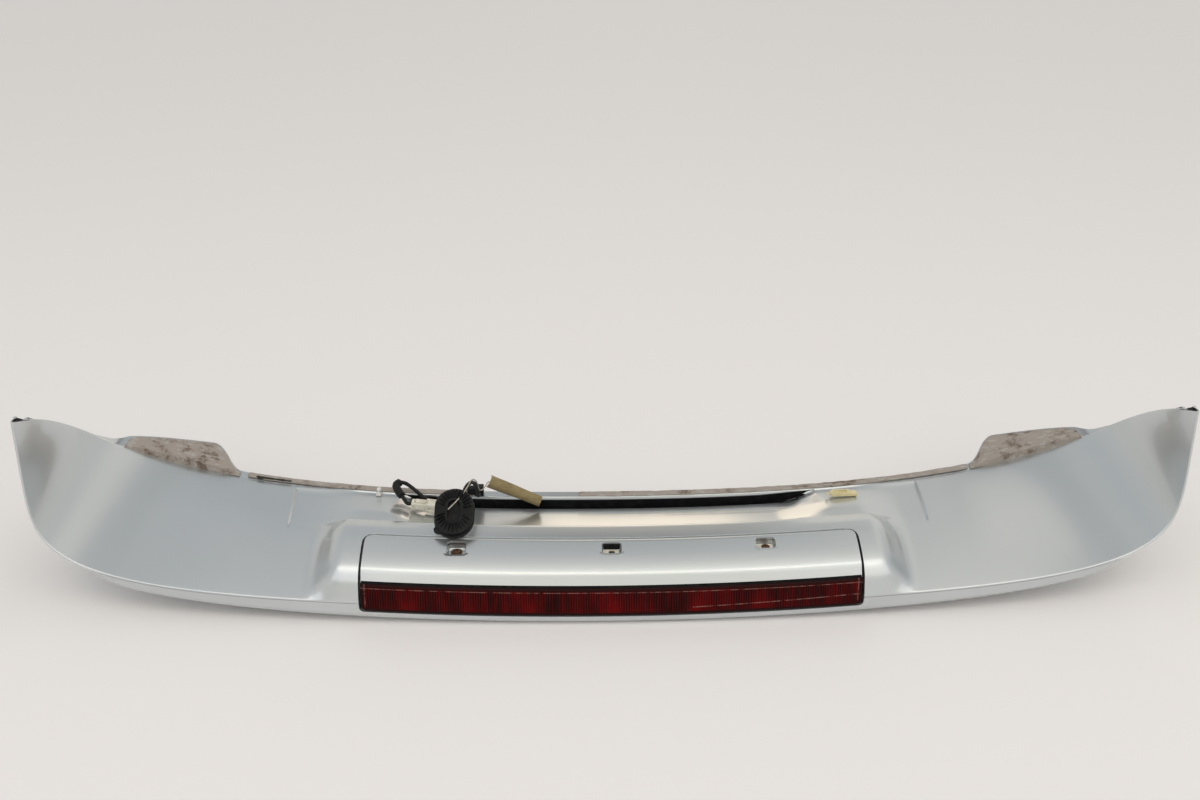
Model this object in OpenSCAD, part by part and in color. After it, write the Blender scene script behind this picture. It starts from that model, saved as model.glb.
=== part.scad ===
// Tailgate spoiler of a car with its lamp, cover, mounting tape and loose wiring.
// It lies upside down: the face that meets the car looks up, and the face that the
// wind meets is underneath. X runs along the span, Y from the trailing edge towards
// the front of the car, Z up. The shells are lofts through sections at constant X.

/* [Trailing crest] */
// Half of the span of the trailing crest
crest_half = 615; // [595:1:635]
// Height of the trailing crest in the middle
crest_z = 25; // [23:0.5:28]
// Height of the fin tips
fin_z = 213; // [195:1:230]
// Squareness of the crest seen from behind
crest_square = 6.5; // [5.5:0.1:7.5]
// Rise of the crest per square metre of span
crest_rise = 30; // [20:1:45]
// Bow of the crest in plan, per square metre of span
crest_bow = 115; // [100:1:130]
// How far the fin tips sweep forward
crest_sweep = 30; // [20:1:40]

/* [Front edge] */
// How far the front edge of each fin lies inside its crest
front_inset = 5; // [2:0.5:15]
// Distance of the front edge from the trailing edge in the middle
front_y = 169; // [164:1:176]
// Height of the front edge in the middle
front_z = 54; // [51:0.5:58]
// Height of the front edge at the fin tips
front_tip_z = 204; // [190:1:206]
// Squareness of the front edge seen from behind
front_square = 3.5; // [3.2:0.1:3.8]
// Bow of the front edge in plan, per square metre of span
front_bow = 167; // [150:1:180]
// How far the fins fall back towards the trailing edge
front_drop = 136; // [120:1:145]

/* [Shells] */
// Wall of both painted shells
wall = 3; // [2.5:0.1:3.5]
// Height of the fascia under the crest in the middle
fascia_h = 25; // [23:0.5:28]
// Thickness of the fins at their trailing edge
fin_edge = 8.5; // [8:0.5:11]
// Clearance between the bonded shells
seam_gap = 0.1; // [0.05:0.05:0.3]

/* [Mounting land] */
// Width of the land along the front edge
land_w = 11; // [9:0.5:13]
// Width of the land at the inner corner of each pad
pad_w = 50; // [44:1:54]
// Width of the land at the outer corner of each pad
pad_end_w = 24; // [18:1:28]
// Distance of each pad's inner corner from the fin's tip
pad_from_tip = 135; // [125:1:145]
// Length of each pad along the span
pad_l = 90; // [80:1:96]
// Length over which the land widens into each pad
pad_blend = 42; // [36:1:50]
// Slope of the pads across the span
pad_slope = 0.27; // [0.24:0.01:0.3]
// Height of the pads at their inner corner
pad_z = 84; // [82:0.5:86]

/* [Boss and recess] */
// Half of the width of the raised boss that carries the lamp
boss_half = 290; // [284:1:300]
// Width over which the boss sinks into each wing
boss_fade = 50; // [40:1:60]
// Rise of the boss per square metre of span
boss_rise = 60; // [50:1:70]
// Height of the boss crest in the middle
boss_z = 69.5; // [67:0.5:72]
// Half of the width of the shallow recess
recess_half = 354; // [348:1:362]
// Depth of the shallow recess
recess_d = 5.5; // [4:0.5:7]
// Half of the width of the deep trough
trough_half = 192; // [180:1:200]
// Length of each ramp at the trough's ends
trough_ramp = 72; // [60:1:84]
// Height of the trough floor
trough_z = 46.5; // [44:0.5:50]
// Half of the width of the cable slot at full height
slot_half = 196; // [186:1:200]
// Length of the slot's tapered ends
slot_taper = 40; // [30:1:50]
// Height of the wings' crown between the crest and the front edge
wing_crown = 10; // [6:1:14]

/* [Lamp and cover] */
// Half of the width of the lamp bay
bay_half = 269; // [266:0.5:274]
// Gap round the cover and the lens
bay_gap = 2.5; // [2:0.1:3]
// Floor of the lamp bay
bay_z = 10.5; // [9.5:0.5:11.5]
// Height of the lens
lens_h = 27; // [25:0.5:29]
// Wall of the lens
lens_wall = 2.5; // [2:0.1:3]
// Wall of the cover
cover_wall = 2.5; // [2:0.1:3]
// Width of the black seal between lens and cover
seal_h = 2; // [1.5:0.1:2.5]
// Depth of the lamp housing
housing_d = 26; // [22:0.5:28]
// Wall of the lamp housing
housing_wall = 2; // [1.5:0.1:2.5]
// Number of light emitting diodes
led_count = 20; // [12:1:28]

/* [Cover fixings] */
// Spacing of the three screw pockets
pocket_pitch = 167; // [155:1:180]
// Width of each screw pocket
pocket_w = 23; // [20:0.5:27]
// Depth of each pocket from the cover's front edge
pocket_d = 19; // [16:0.5:21]
// Depth of the pocket's shelf under the cover's surface
pocket_drop = 8; // [6:0.5:9]
// Width of the shelf that the screw clamps
shelf_d = 12; // [11:0.5:13]
// Clearance hole for each screw
screw_hole = 5; // [4.6:0.1:5.6]
// Shank of each screw
screw_d = 4.2; // [3.8:0.1:4.4]
// Head of each screw
screw_head = 11; // [9:0.5:12]
// Length of each screw's shank
screw_len = 12; // [10:0.5:13]

/* [Tape and clips] */
// Thickness of the mounting tape
tape_t = 1.2; // [0.8:0.1:2]
// Bare rim left in front of the tape
rim_w = 1.6; // [1.2:0.1:2.5]
// Stem of the white locating clip
clip_stem = 4; // [3:0.5:5]
// Height of the white locating clip
clip_h = 12; // [10:0.5:15]
// Length of the spare cream clip
spare_l = 31; // [26:1:36]

/* [Wiring] */
// Diameter of the wiring leads
lead_d = 4.5; // [4:0.1:5]
// Diameter of the sleeve on the lamp lead
sleeve_d = 9.5; // [8:0.1:11]
// Width of the rubber grommet
grommet_w = 44; // [41:0.5:46]
// Length of the rubber grommet
grommet_l = 50; // [46:0.5:54]
// Thickness of the rubber grommet's head
grommet_t = 18; // [16:0.5:20]
// Diameter of the string that holds the tag
string_d = 1.4; // [1.2:0.1:1.8]
// Length of the rolled tag
tag_l = 66; // [60:1:70]

/* [Hidden] */

per_m2 = 1e-6;
front_half = crest_half - front_inset;
pad_in = crest_half - pad_from_tip;
pad_out = pad_in + pad_l;
paint = [0.72, 0.76, 0.80];
fit = 0.3;

// Basic shaping functions
function mix(a, b, t) = a + (b - a) * t;
function clamp01(t) = max(0, min(1, t));
function ramp(a, b, x) = clamp01((x - a) / (b - a));
function ease(a, b, x) = let (t = ramp(a, b, x)) t * t * (3 - 2 * t);
function unit(v) = v / max(1e-9, norm(v));

// Height share of a superellipse at span share s: 1 in the middle, 0 at the tips
function fall(s, n) = pow(max(0, 1 - pow(abs(s), n)), 1 / n);
// Span share at which that height share is k
function share_at(k, n) = pow(1 - pow(k, n), 1 / n);
// Outward normal of a superellipse arch seen from behind
function out_normal(s, n, half, rise) =
    unit([sign(s) * pow(abs(s), n - 1) / half, 0, -pow(fall(s, n), n - 1) / rise]);

// Guide curves over the span share s, from -1 at the left tip to 1 at the right tip
function crest(s) = let (x = crest_half * s, k = 1 - fall(s, crest_square),
        rise = crest_rise * per_m2)
    [x, crest_bow * per_m2 * x * x + crest_sweep * k,
     crest_z + rise * x * x + (fin_z - crest_z - rise * crest_half * crest_half) * k];
function front(s) = let (x = front_half * s, k = 1 - fall(s, front_square))
    [x, front_y + front_bow * per_m2 * x * x - front_drop * k * k,
     front_z + (front_tip_z - front_z) * k];
function crest_out(s) = out_normal(s, crest_square, crest_half, fin_z - crest_z);
function front_out(s) = out_normal(s, front_square, front_half, front_tip_z - front_z);

// Mounting land: its width and its height at distance a from the middle
fin_rim = 2;
fin_blend = 24;
function land_width(a) =
    a < pad_in ? mix(land_w, pad_w, ease(pad_in - pad_blend, pad_in, a))
    : a < pad_out ? mix(pad_w, pad_end_w, ramp(pad_in, pad_out, a))
    : mix(pad_end_w, fin_rim, ramp(pad_out, pad_out + fin_blend, a));
function pad_share(a) = ease(pad_in - pad_blend, pad_in - 18, a)
    * (1 - ease(pad_out + 4, pad_out + fin_blend, a));
function pad_height(a) = pad_z + pad_slope * (a - pad_in);
function land_height(s) = let (f = front(s), a = abs(f.x)) mix(f.z, pad_height(a), pad_share(a));
function rim(s) = let (f = front(s)) [f.x, f.y + land_width(abs(f.x)), land_height(s)];

// Shape of the visible shell between crest and front edge, as shares of that distance
WING = [0, 0.04, 0.08, 0.14, 0.2, 0.28, 0.36, 0.46, 0.55, 0.58, 0.68, 0.82, 0.92, 0.95, 0.97, 0.985, 1];
// Share of the recess depth at each of those points
DIP = [0, 0, 0, 0, 0, 0, 0, 0, 0, 1, 1, 0.9, 0.6, 0.4, 0.2, 0, 0];
// Boss section from the fascia over its crest to the recess floor
BOSS = [
    [0, 25], [3.5, 33], [8, 45], [16.5, 53.5], [28, 60], [42, 65.5], [58, 69.5], [77, 69],
    [98, 63], [103, 57], [125, 56.5]
];
// Near slope of the deep trough
TROUGH = [[84, 68], [97, 58], [113, 49]];
// Offsets from the front edge, in Y and Z, of the recess, the trough and the slot
RECESS_END = [[-32, 2], [-12, 1], [-7, 0.5], [-4, 0], [-2, 0]];
SLOT_END = [[-29, -7.5], [-10, -10], [-7, -16], [1, -16], [0, -7.5]];
// Tray of the lamp bay, from the lens ledge to the cover's front edge
bay_front = 63;
bay_shelf = 46;
function bay_section() = [
    [1, bay_z + 0.5], [20, bay_z], [38, bay_z], [41, 28], [44, bay_shelf],
    [bay_front - 2, bay_shelf + 1], [bay_front + 1, 66]
];
function boss_section(j) = j == 0 ? [0, crest_z]
    : [BOSS[j][0], BOSS[j][1] + (boss_z - 69.5) * (j > 2 ? 1 : 0)];

recess_wall = 6;
bay_wall = 2;
// The wings' ends of the recess lean outwards by this much
recess_lean = 16;
function lean(a) =
    recess_lean * (ease(boss_half, recess_half - 4, a) - ease(recess_half + 26, pad_in, a));
function bowed_y(x) = crest_bow * per_m2 * x * x;
function bowed_z(x) = boss_rise * per_m2 * x * x;

// One point of the visible shell: j counts from the crest to the front edge
function skin_point(x, j) =
    let (a = abs(x), s = x / crest_half, t = crest(s), f = front(s),
        boss = 1 - ease(boss_half, boss_half + boss_fade, a),
        bay = 1 - ramp(bay_half, bay_half + bay_wall, a),
        recess = 1 - ramp(recess_half, recess_half + recess_wall, a),
        deep = 1 - ease(trough_half, trough_half + trough_ramp, a),
        slot = 1 - ramp(slot_half, slot_half + slot_taper, a),
        crown = wing_crown * (1 - ease(pad_in - 80, pad_in + 60, a)),
        v = WING[j],
        wing = mix(t, f, v)
            + [sign(x) * lean(a) * v, 0, 4 * crown * v * (1 - v) - recess_d * DIP[j] * recess],
        y0 = bowed_y(x), z0 = bowed_z(x), sink = trough_z - 46.5,
        raised = j == 0 ? t
            : j <= 10 ? [wing.x, y0 + boss_section(j)[0], z0 + boss_section(j)[1]]
            : j < 16 ? [wing.x, f.y + RECESS_END[j - 11][0], f.z + RECESS_END[j - 11][1]] : f,
        p1 = mix(wing, raised, boss),
        p2 = j >= 8 && j <= 10
            ? mix(p1, [p1.x, y0 + TROUGH[j - 8][0], z0 + TROUGH[j - 8][1] + (j == 10 ? sink : 0)], deep)
            : j == 11 ? mix(p1, [p1.x, f.y + SLOT_END[0][0], f.z + SLOT_END[0][1] + sink], deep)
            : j > 11 && j < 16
            ? mix(p1, [p1.x, f.y + SLOT_END[j - 11][0], f.z + SLOT_END[j - 11][1]], slot)
            : p1,
        tray = bay_section())
    j < len(tray) ? mix(p2, [p2.x, y0 + tray[j][0], z0 + tray[j][1]], bay) : p2;

// Whole section of the visible shell at crest distance x: wing or boss, then the land
function skin_section(x) =
    let (s = x / crest_half, f = front(s), r = rim(s), a = abs(f.x),
        step = mix(0.4 * min(land_w, land_width(a)), 1, pad_share(a)), foot = [f.x, f.y + step, r.z])
    concat([for (j = [0:16]) skin_point(x, j)], [foot, mix(foot, r, 0.5), r]);

// Stations along half of the span, denser where the shape changes
fin_heights = [0.86, 0.82, 0.77, 0.71, 0.64, 0.56, 0.46, 0.34, 0.2, 0.08, 0];
tape_bare_in = trough_half * 0.21;
tape_bare_out = trough_half * 0.625;
foam_in = mix(recess_half + recess_wall, pad_in - pad_blend, 0.2);
foam_out = mix(recess_half + recess_wall, pad_in - pad_blend, 0.83);
function sorted(v) = len(v) < 2 ? v : let (p = v[floor(len(v) / 2)])
    concat(sorted([for (e = v) if (e < p) e]), [p], sorted([for (e = v) if (e > p) e]));
half_stations = sorted(concat(
    [0, tape_bare_in, trough_half * 0.42, tape_bare_out, trough_half * 0.83, trough_half,
     slot_half + slot_taper, bay_half - 19, bay_half - 5, bay_half, bay_half + bay_wall,
     mix(bay_half, boss_half, 0.5), boss_half, recess_half - recess_wall, recess_half,
     recess_half + recess_wall, foam_in, mix(foam_in, foam_out, 0.5), foam_out],
    [for (k = [0.15, 0.35, 0.65]) slot_half + slot_taper * k],
    [for (k = [0.2, 0.4, 0.62, 0.84]) boss_half + boss_fade * k],
    [for (k = [0.28, 0.48, 0.64, 0.81, 1]) pad_in - pad_blend * k],
    [for (k = [0.05, 0.25, 0.47]) pad_in + pad_l * k],
    [for (k = fin_heights) crest_half * share_at(k, crest_square)]));
stations = concat([for (i = [len(half_stations) - 1:-1:1]) -half_stations[i]], half_stations);

// Mesh of a sheet with thickness: grid[i][j] is its outer face, th[j] its thickness
function grid_normal(g, i, j) =
    let (n = len(g) - 1, m = len(g[0]) - 1,
        du = g[min(n, i + 1)][j] - g[max(0, i - 1)][j],
        dv = g[i][min(m, j + 1)] - g[i][max(0, j - 1)])
    unit(cross(du, dv));
module sheet(g, th) {
    n = len(g);
    m = len(g[0]);
    far = [for (i = [0:n - 1]) [for (j = [0:m - 1]) g[i][j] - grid_normal(g, i, j) * th[j]]];
    points = concat([for (row = g) each row], [for (row = far) each row]);
    k = n * m;
    faces = concat(
        [for (i = [0:n - 2]) for (j = [0:m - 2])
            let (p = i * m + j, q = p + m) each [[p, q + 1, q], [p, p + 1, q + 1]]],
        [for (i = [0:n - 2]) for (j = [0:m - 2])
            let (p = k + i * m + j, q = p + m) each [[p, q, q + 1], [p, q + 1, p + 1]]],
        [for (i = [0:n - 2]) let (p = i * m, q = p + m) each [[p, q, k + q], [p, k + q, k + p]]],
        [for (i = [0:n - 2]) let (p = i * m + m - 1, q = p + m) each [[p, k + q, q], [p, k + p, k + q]]],
        [for (j = [0:m - 2]) each [[j, k + j, k + j + 1], [j, k + j + 1, j + 1]]],
        [for (j = [0:m - 2]) let (p = (n - 1) * m + j)
            each [[p, k + p + 1, k + p], [p, p + 1, k + p + 1]]]);
    polyhedron(points, faces, convexity = 12);
}

// Section of the outer shell from the crest over the fascia and floor to the land
edge_t = 0.4;
floor_r = 8;
floor_end = 10;
fin_back = 3;
rim_gap = 0.6;
function fascia_foot(s) =
    let (k = fall(s, crest_square), d = fin_edge + (fascia_h - fin_edge) * (1 - 0.7 * s * s) * pow(k, 1.5))
    crest(s) + crest_out(s) * d + [0, fin_back * (1 - k), 0];
function belly_front(s) =
    let (k = fall(s, front_square), h = fin_edge + (front_z - fin_edge) * k)
    front(s) + [0, land_w * k - floor_end * k, 0] + front_out(s) * h;
function outer_section(x) =
    let (s = x / crest_half, n = crest_out(s), nf = front_out(s),
        top = skin_point(x, 0) + n * (edge_t + seam_gap),
        foot = fascia_foot(s), g = belly_front(s), r = rim(s) + nf * (wall + rim_gap),
        k = fall(s, crest_square), round_r = max(1.4, min(floor_r, 0.35 * norm(foot - top)) * k),
        lift = [0, round_r * 0.3, 0] - n * round_r * 0.3,
        start = foot + [0, round_r, 0])
    [top, mix(top, foot - n * round_r, 0.7), foot - n * round_r, foot + lift, start, mix(start, g, 0.33),
     mix(start, g, 0.7), g, mix(g, r, 0.28) + nf * 3 * k, mix(g, r, 0.65) + nf * 2 * k, r];

mid_y = rim(pad_in / front_half).y / 2;
module placed() { translate([0, -mid_y, 0]) children(); }

module outer_skin() {
    th = [for (j = [0:10]) j == 0 || j == 10 ? edge_t : wall];
    color(paint) placed()
        sheet([for (x = stations) let (o = outer_section(x)) [for (j = [10:-1:0]) o[j]]], th);
}
module inner_skin() {
    th = [for (j = [0:19]) j == 0 ? edge_t : j == 1 ? 0.5 * wall : wall];
    color(paint) placed() sheet([for (x = stations) skin_section(x)], th);
}

// Everything in the lamp bay is turned about one axis, which gives it the boss's bow
bow_k = 2 * norm([crest_bow, boss_rise]) * per_m2;
bow_r = 1 / bow_k;
bow_tilt = atan2(boss_rise, crest_bow);
bow_centre = [0, bow_r * cos(bow_tilt), bow_r * sin(bow_tilt)];
function bow_angle(x) = asin(x / bow_r);
module bow_place(x) {
    translate(bow_centre) rotate([bow_tilt, 0, 0]) rotate([0, 0, bow_angle(x)])
        rotate([-bow_tilt, 0, 0]) translate(-bow_centre) children();
}
module bowed(section, half) {
    along_bow = cos(bow_tilt);
    across_bow = sin(bow_tilt);
    turned = [for (p = section)
        [bow_r - p[0] * along_bow - p[1] * across_bow, p[1] * along_bow - p[0] * across_bow]];
    a = bow_angle(half);
    translate(bow_centre) rotate([bow_tilt, 0, 0]) rotate([0, 0, -90 - a])
        rotate_extrude(angle = 2 * a, $fn = 1440) polygon(turned);
}
cover_half = bay_half - bay_gap;
lens_low = [3, bay_z + 1.5];
lens_d = 14;
lens_high = lens_low + [6, lens_h];
seal_top = lens_high + [1.2, seal_h];
crest_y = 58;
cover_front = bay_front - bay_gap;
COVER = [[16.5, 53.5], [28, 60], [42, 65.5]];
crest_top = [crest_y, boss_z - 0.3];
function cover_outline() = concat(
    [seal_top + [0, 0.2]], COVER,
    [crest_top, [cover_front, boss_z - 1.3], [cover_front, boss_z - 14],
     [cover_front - cover_wall, boss_z - 14], [cover_front - cover_wall, boss_z - 3.5]],
    [for (k = [2:-1:0]) COVER[k] + [0.9, -cover_wall]],
    [seal_top + [cover_wall + 0.6, 0.2]]);

pocket_xs = [-pocket_pitch, 0, pocket_pitch];
pocket_y = cover_front - pocket_d;
shelf_z = boss_z - pocket_drop - 3;
shelf_y = pocket_y + shelf_d / 2;
module lamp_cover() {
    color(paint) placed() difference() {
        union() {
            difference() {
                bowed(cover_outline(), cover_half);
                for (x = pocket_xs) bow_place(x) translate([-pocket_w / 2, pocket_y, boss_z - 12])
                    cube([pocket_w, pocket_d - 3, 30]);
            }
            // Shelf and walls of each pocket
            for (x = pocket_xs) bow_place(x) {
                translate([-pocket_w / 2 - 0.5, pocket_y - 1.5, shelf_z - cover_wall])
                    cube([pocket_w + 1, shelf_d, cover_wall]);
                translate([-pocket_w / 2 - 1.5, pocket_y - 2.5, shelf_z - cover_wall])
                    cube([pocket_w + 3, 2.5, 8]);
                for (e = [-1, 1])
                    translate([e * (pocket_w / 2 + 0.9) - 0.9, pocket_y - 2.5, shelf_z - cover_wall])
                        cube([1.8, pocket_d + 1.5, 8]);
            }
        }
        for (x = pocket_xs) bow_place(x) translate([0, shelf_y, shelf_z - 10])
            cylinder(h = 20, d = screw_hole, $fn = 48);
    }
}
module lamp_lens() {
    d = [lens_wall, 0];
    back = [lens_d, 0];
    lens_end = [lens_low[0] + lens_d, lens_high[1]];
    color([0.55, 0.04, 0.06]) placed() bowed([
        lens_low, lens_high, lens_end, lens_end - [0, lens_wall],
        lens_high + d * 1.4 - [0, lens_wall], lens_low + d * 1.4 + [0, lens_wall],
        lens_low + back + [0, lens_wall], lens_low + back], cover_half);
}
module lens_seal() {
    color([0.05, 0.05, 0.05]) placed() bowed([
        lens_high + [0, 0.1], lens_high + [1, seal_h], lens_high + [12, seal_h],
        lens_high + [12, 0.1]], cover_half);
}
housing_front = lens_low[0] + lens_d + fit;
housing_low = bay_z + 1;
housing_high = lens_high[1];
module lamp_housing() {
    y1 = housing_front;
    y2 = y1 + housing_d - 12;
    color([0.1, 0.1, 0.1]) placed() {
        bowed([[y1, housing_low], [y2, housing_low], [y2, housing_high - 6], [y2 - 4, housing_high],
            [y1, housing_high], [y1, housing_high - housing_wall], [y2 - 5, housing_high - housing_wall],
            [y2 - housing_wall, housing_high - 7], [y2 - housing_wall, housing_low + housing_wall],
            [y1, housing_low + housing_wall]], cover_half - 4);
    }
}
board_y = housing_front + housing_d - 12 - housing_wall - fit - 1.6;
module led_board() {
    color([0.1, 0.35, 0.15]) placed() bowed([
        [board_y, housing_low + housing_wall + fit], [board_y + 1.6, housing_low + housing_wall + fit],
        [board_y + 1.6, housing_high - 10], [board_y, housing_high - 10]], cover_half - 8);
}
led_z = (housing_low + housing_high) / 2 - 3;
led_pitch = 2 * (cover_half - 26) / (led_count - 1);
module leds() {
    color([0.9, 0.85, 0.7]) placed() for (i = [0:led_count - 1])
        bow_place(-cover_half + 26 + i * led_pitch)
            translate([-2.5, board_y - 2, led_z - 2.5]) cube([5, 2, 5]);
}
module lamp_reflector() {
    y0 = lens_low[0] + lens_wall * 1.4 + 1.5;
    color([0.85, 0.85, 0.88]) placed() difference() {
        bowed([[y0, lens_low[1] + lens_wall + fit], [board_y - 2.4, led_z - 5], [board_y - 2.4, led_z + 5],
            [y0 + 7, lens_high[1] - lens_wall - fit], [y0 + 6, lens_high[1] - lens_wall - fit - 1.4],
            [board_y - 3.8, led_z + 4], [board_y - 3.8, led_z - 4],
            [y0, lens_low[1] + lens_wall + fit + 1.4]], cover_half - 10);
        for (i = [0:led_count - 1]) bow_place(-cover_half + 26 + i * led_pitch)
            translate([-3.5, board_y - 5, led_z - 3.5]) cube([7, 5, 7]);
    }
}
// Nylon block under each pocket's shelf, which takes the screw
block_low = bay_shelf + 1 + fit;
block_high = shelf_z - cover_wall;
module screw_grommet(x) {
    color([0.85, 0.83, 0.75]) placed() bow_place(x) difference() {
        translate([-8, shelf_y - 5, block_low]) cube([16, 11, block_high - block_low]);
        translate([0, shelf_y, block_low - 1]) cylinder(h = 30, d = screw_d, $fn = 48);
    }
}
module screw_grommet_left() { screw_grommet(pocket_xs[0]); }
module screw_grommet_centre() { screw_grommet(pocket_xs[1]); }
module screw_grommet_right() { screw_grommet(pocket_xs[2]); }
module cover_screw(x) {
    head_h = 2.6;
    shank = min(screw_len, shelf_z - block_low);
    color([0.45, 0.32, 0.22]) placed() bow_place(x) translate([0, shelf_y, shelf_z]) difference() {
        union() {
            translate([0, 0, -shank]) cylinder(h = shank, d = screw_d, $fn = 48);
            cylinder(h = 0.8, d = screw_head, $fn = 48);
            rotate_extrude($fn = 48) polygon([[0, 0.8], [screw_head * 0.36, 0.8], [screw_head * 0.3, 2],
                [screw_head * 0.16, head_h], [0, head_h]]);
        }
        for (a = [0, 90]) rotate([0, 0, a]) translate([-2, -0.5, 1.4]) cube([4, 1, 3]);
    }
}
module cover_screw_left() { cover_screw(pocket_xs[0]); }
module cover_screw_right() { cover_screw(pocket_xs[2]); }

// Thin strip along the land, between two distances d from the front edge. Its ends are
// given as crest distances, and it takes the shell's own stations in between.
function on_land(s, d) = let (f = front(s)) [f.x, f.y + d, land_height(s)];
module land_strip(x1, x2, d1, d2, t) {
    shares = [for (x = stations) if (x >= x1 && x <= x2) x / crest_half];
    last = len(shares) - 1;
    up = [0, 0, t];
    points = [for (s = shares) let (a = on_land(s, d1), b = on_land(s, d2)) each [a, b, b + up, a + up]];
    sides = [for (i = [0:last - 1]) for (j = [0:3])
        let (a = i * 4 + j, b = i * 4 + (j + 1) % 4) each [[a, b + 4, b], [a, a + 4, b + 4]]];
    polyhedron(points, concat(sides, [[0, 1, 2, 3], [for (j = [3:-1:0]) last * 4 + j]]), convexity = 4);
}
tape_in = 1.6;
module flange_tape() {
    color([0.62, 0.58, 0.56]) placed() {
        land_strip(-recess_half - recess_wall, -tape_bare_out, tape_in, land_w - rim_w, tape_t);
        land_strip(-tape_bare_in, foam_out, tape_in, land_w - rim_w, tape_t);
    }
}
// Flat pad in the wide part of the land at one end
pad_margin = 2.5;
function pad_outline() = let (
        inner = [for (a = [pad_in - 14:6:pad_out - 2]) [a, front(a / front_half).y + 1.2 + pad_margin]],
        outer = [for (a = [pad_out - 2, pad_in, pad_in - 8, pad_in - 14])
            [a, front(a / front_half).y + land_width(a) - pad_margin]])
    concat(inner, outer);
module tape_pad(side) {
    angle = atan(pad_slope);
    outline = [for (p = pad_outline()) [(p[0] - pad_in) / cos(angle), p[1]]];
    color([0.62, 0.56, 0.52]) placed() mirror([side < 0 ? 1 : 0, 0, 0])
        translate([pad_in, 0, pad_z + 0.15]) rotate([0, -angle, 0]) linear_extrude(tape_t) polygon(outline);
}
module tape_pad_left() { tape_pad(-1); }
module tape_pad_right() { tape_pad(1); }
module foam_strip() {
    color([0.08, 0.08, 0.08]) placed() land_strip(-foam_out, -foam_in, 1.4, 4.6, 2);
}
module liner_strip() {
    color([0.92, 0.92, 0.9]) placed() land_strip(pad_in - pad_blend, pad_in - pad_blend * 0.48, 1.4, 4.4, 0.6);
}

// White push clip that stands in the land, and a spare clip that lies in the recess
clip_x = -271;
clip_foot = on_land(clip_x / front_half, 5.5) + [0, 0, tape_t + 0.15];
module locating_clip() {
    color([0.95, 0.95, 0.95]) placed() translate(clip_foot) {
        cylinder(h = 2, d = 2 * clip_stem, $fn = 48);
        cylinder(h = clip_h, d = clip_stem, $fn = 48);
        translate([0, 0, clip_h * 0.55]) rotate_extrude($fn = 48)
            polygon([[0, 0], [clip_stem * 0.8, 0.6], [clip_stem * 0.5, 3.4], [0, clip_h * 0.45 + 0.4]]);
    }
}
spare_at = [276, 160, 59];
module spare_clip() {
    color([0.9, 0.84, 0.6]) placed() translate(spare_at) rotate([-3, 0, 1.5]) {
        difference() {
            translate([-spare_l / 2, -4.5, 0]) cube([spare_l, 9, 5]);
            translate([-spare_l / 2 + 4, -3, 2.5]) cube([spare_l * 0.5, 6, 5]);
        }
        translate([-spare_l / 2 - 6, -1, 0.5]) cube([7, 2, 3]);
    }
}

// Wiring that lies loose in the trough. Each route runs through points in X, Y, Z.
LAMP_LEAD = [
    [-188, 172, 42], [-199, 171.5, 44.2], [-209, 170.5, 49.5], [-218, 171, 55], [-225, 174, 60.5],
    [-232, 178, 64.5], [-239, 181, 68], [-245.5, 179, 70.5], [-248.5, 172.5, 70.5], [-245.5, 165.5, 67.5],
    [-240.5, 159, 64.5], [-236.5, 153, 62.5], [-233.5, 148.2, 61.6], [-229, 147, 61]
];
HARNESS_LEAD = [
    [-194, 146, 56.5], [-187, 145.8, 55.6], [-180, 143.2, 54.6], [-174.5, 138, 53.6], [-171.6, 130.5, 53],
    [-171, 124.5, 53.6], [-171, 120.5, 55.6]
];
HARNESS_TAIL = [
    [-162, 104.4, 101.7], [-161, 109, 103.6], [-158.5, 117, 104.5], [-155.5, 127, 101.5],
    [-153.5, 136, 95], [-152.5, 144, 86], [-152, 150, 77], [-152, 155, 69], [-152, 160.5, 63.2],
    [-152, 165, 61], [-152, 169.4, 60.8]
];
TAG_STRING = [
    [-177, 77.95, 97.7], [-169, 87, 101.9], [-162, 96.1, 106.2], [-159, 101.5, 108.6], [-157, 110, 108.4],
    [-156, 118, 107.8], [-154, 128.5, 104.6], [-152, 138.5, 97], [-151, 146.6, 88], [-150.5, 152.7, 79],
    [-149.5, 157.7, 72], [-146.5, 163.5, 69.5], [-143, 169, 72.3], [-141, 172.3, 75]
];
function smooth_route(p, k) = concat([for (i = [0:len(p) - 2]) for (m = [0:k - 1])
    let (t = m / k, a = p[max(0, i - 1)], b = p[i], c = p[i + 1], d = p[min(len(p) - 1, i + 2)])
    0.5 * (2 * b + (c - a) * t + (2 * a - 5 * b + 4 * c - d) * t * t
        + (3 * b - a - 3 * c + d) * t * t * t)],
    [p[len(p) - 1]]);
function tangents(p) = [for (i = [0:len(p) - 1]) unit(p[min(len(p) - 1, i + 1)] - p[max(0, i - 1)])];
function carried(ts, u, i = 0) = i == len(ts) ? []
    : let (n = unit(u - (u * ts[i]) * ts[i])) concat([n], carried(ts, n, i + 1));
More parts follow.
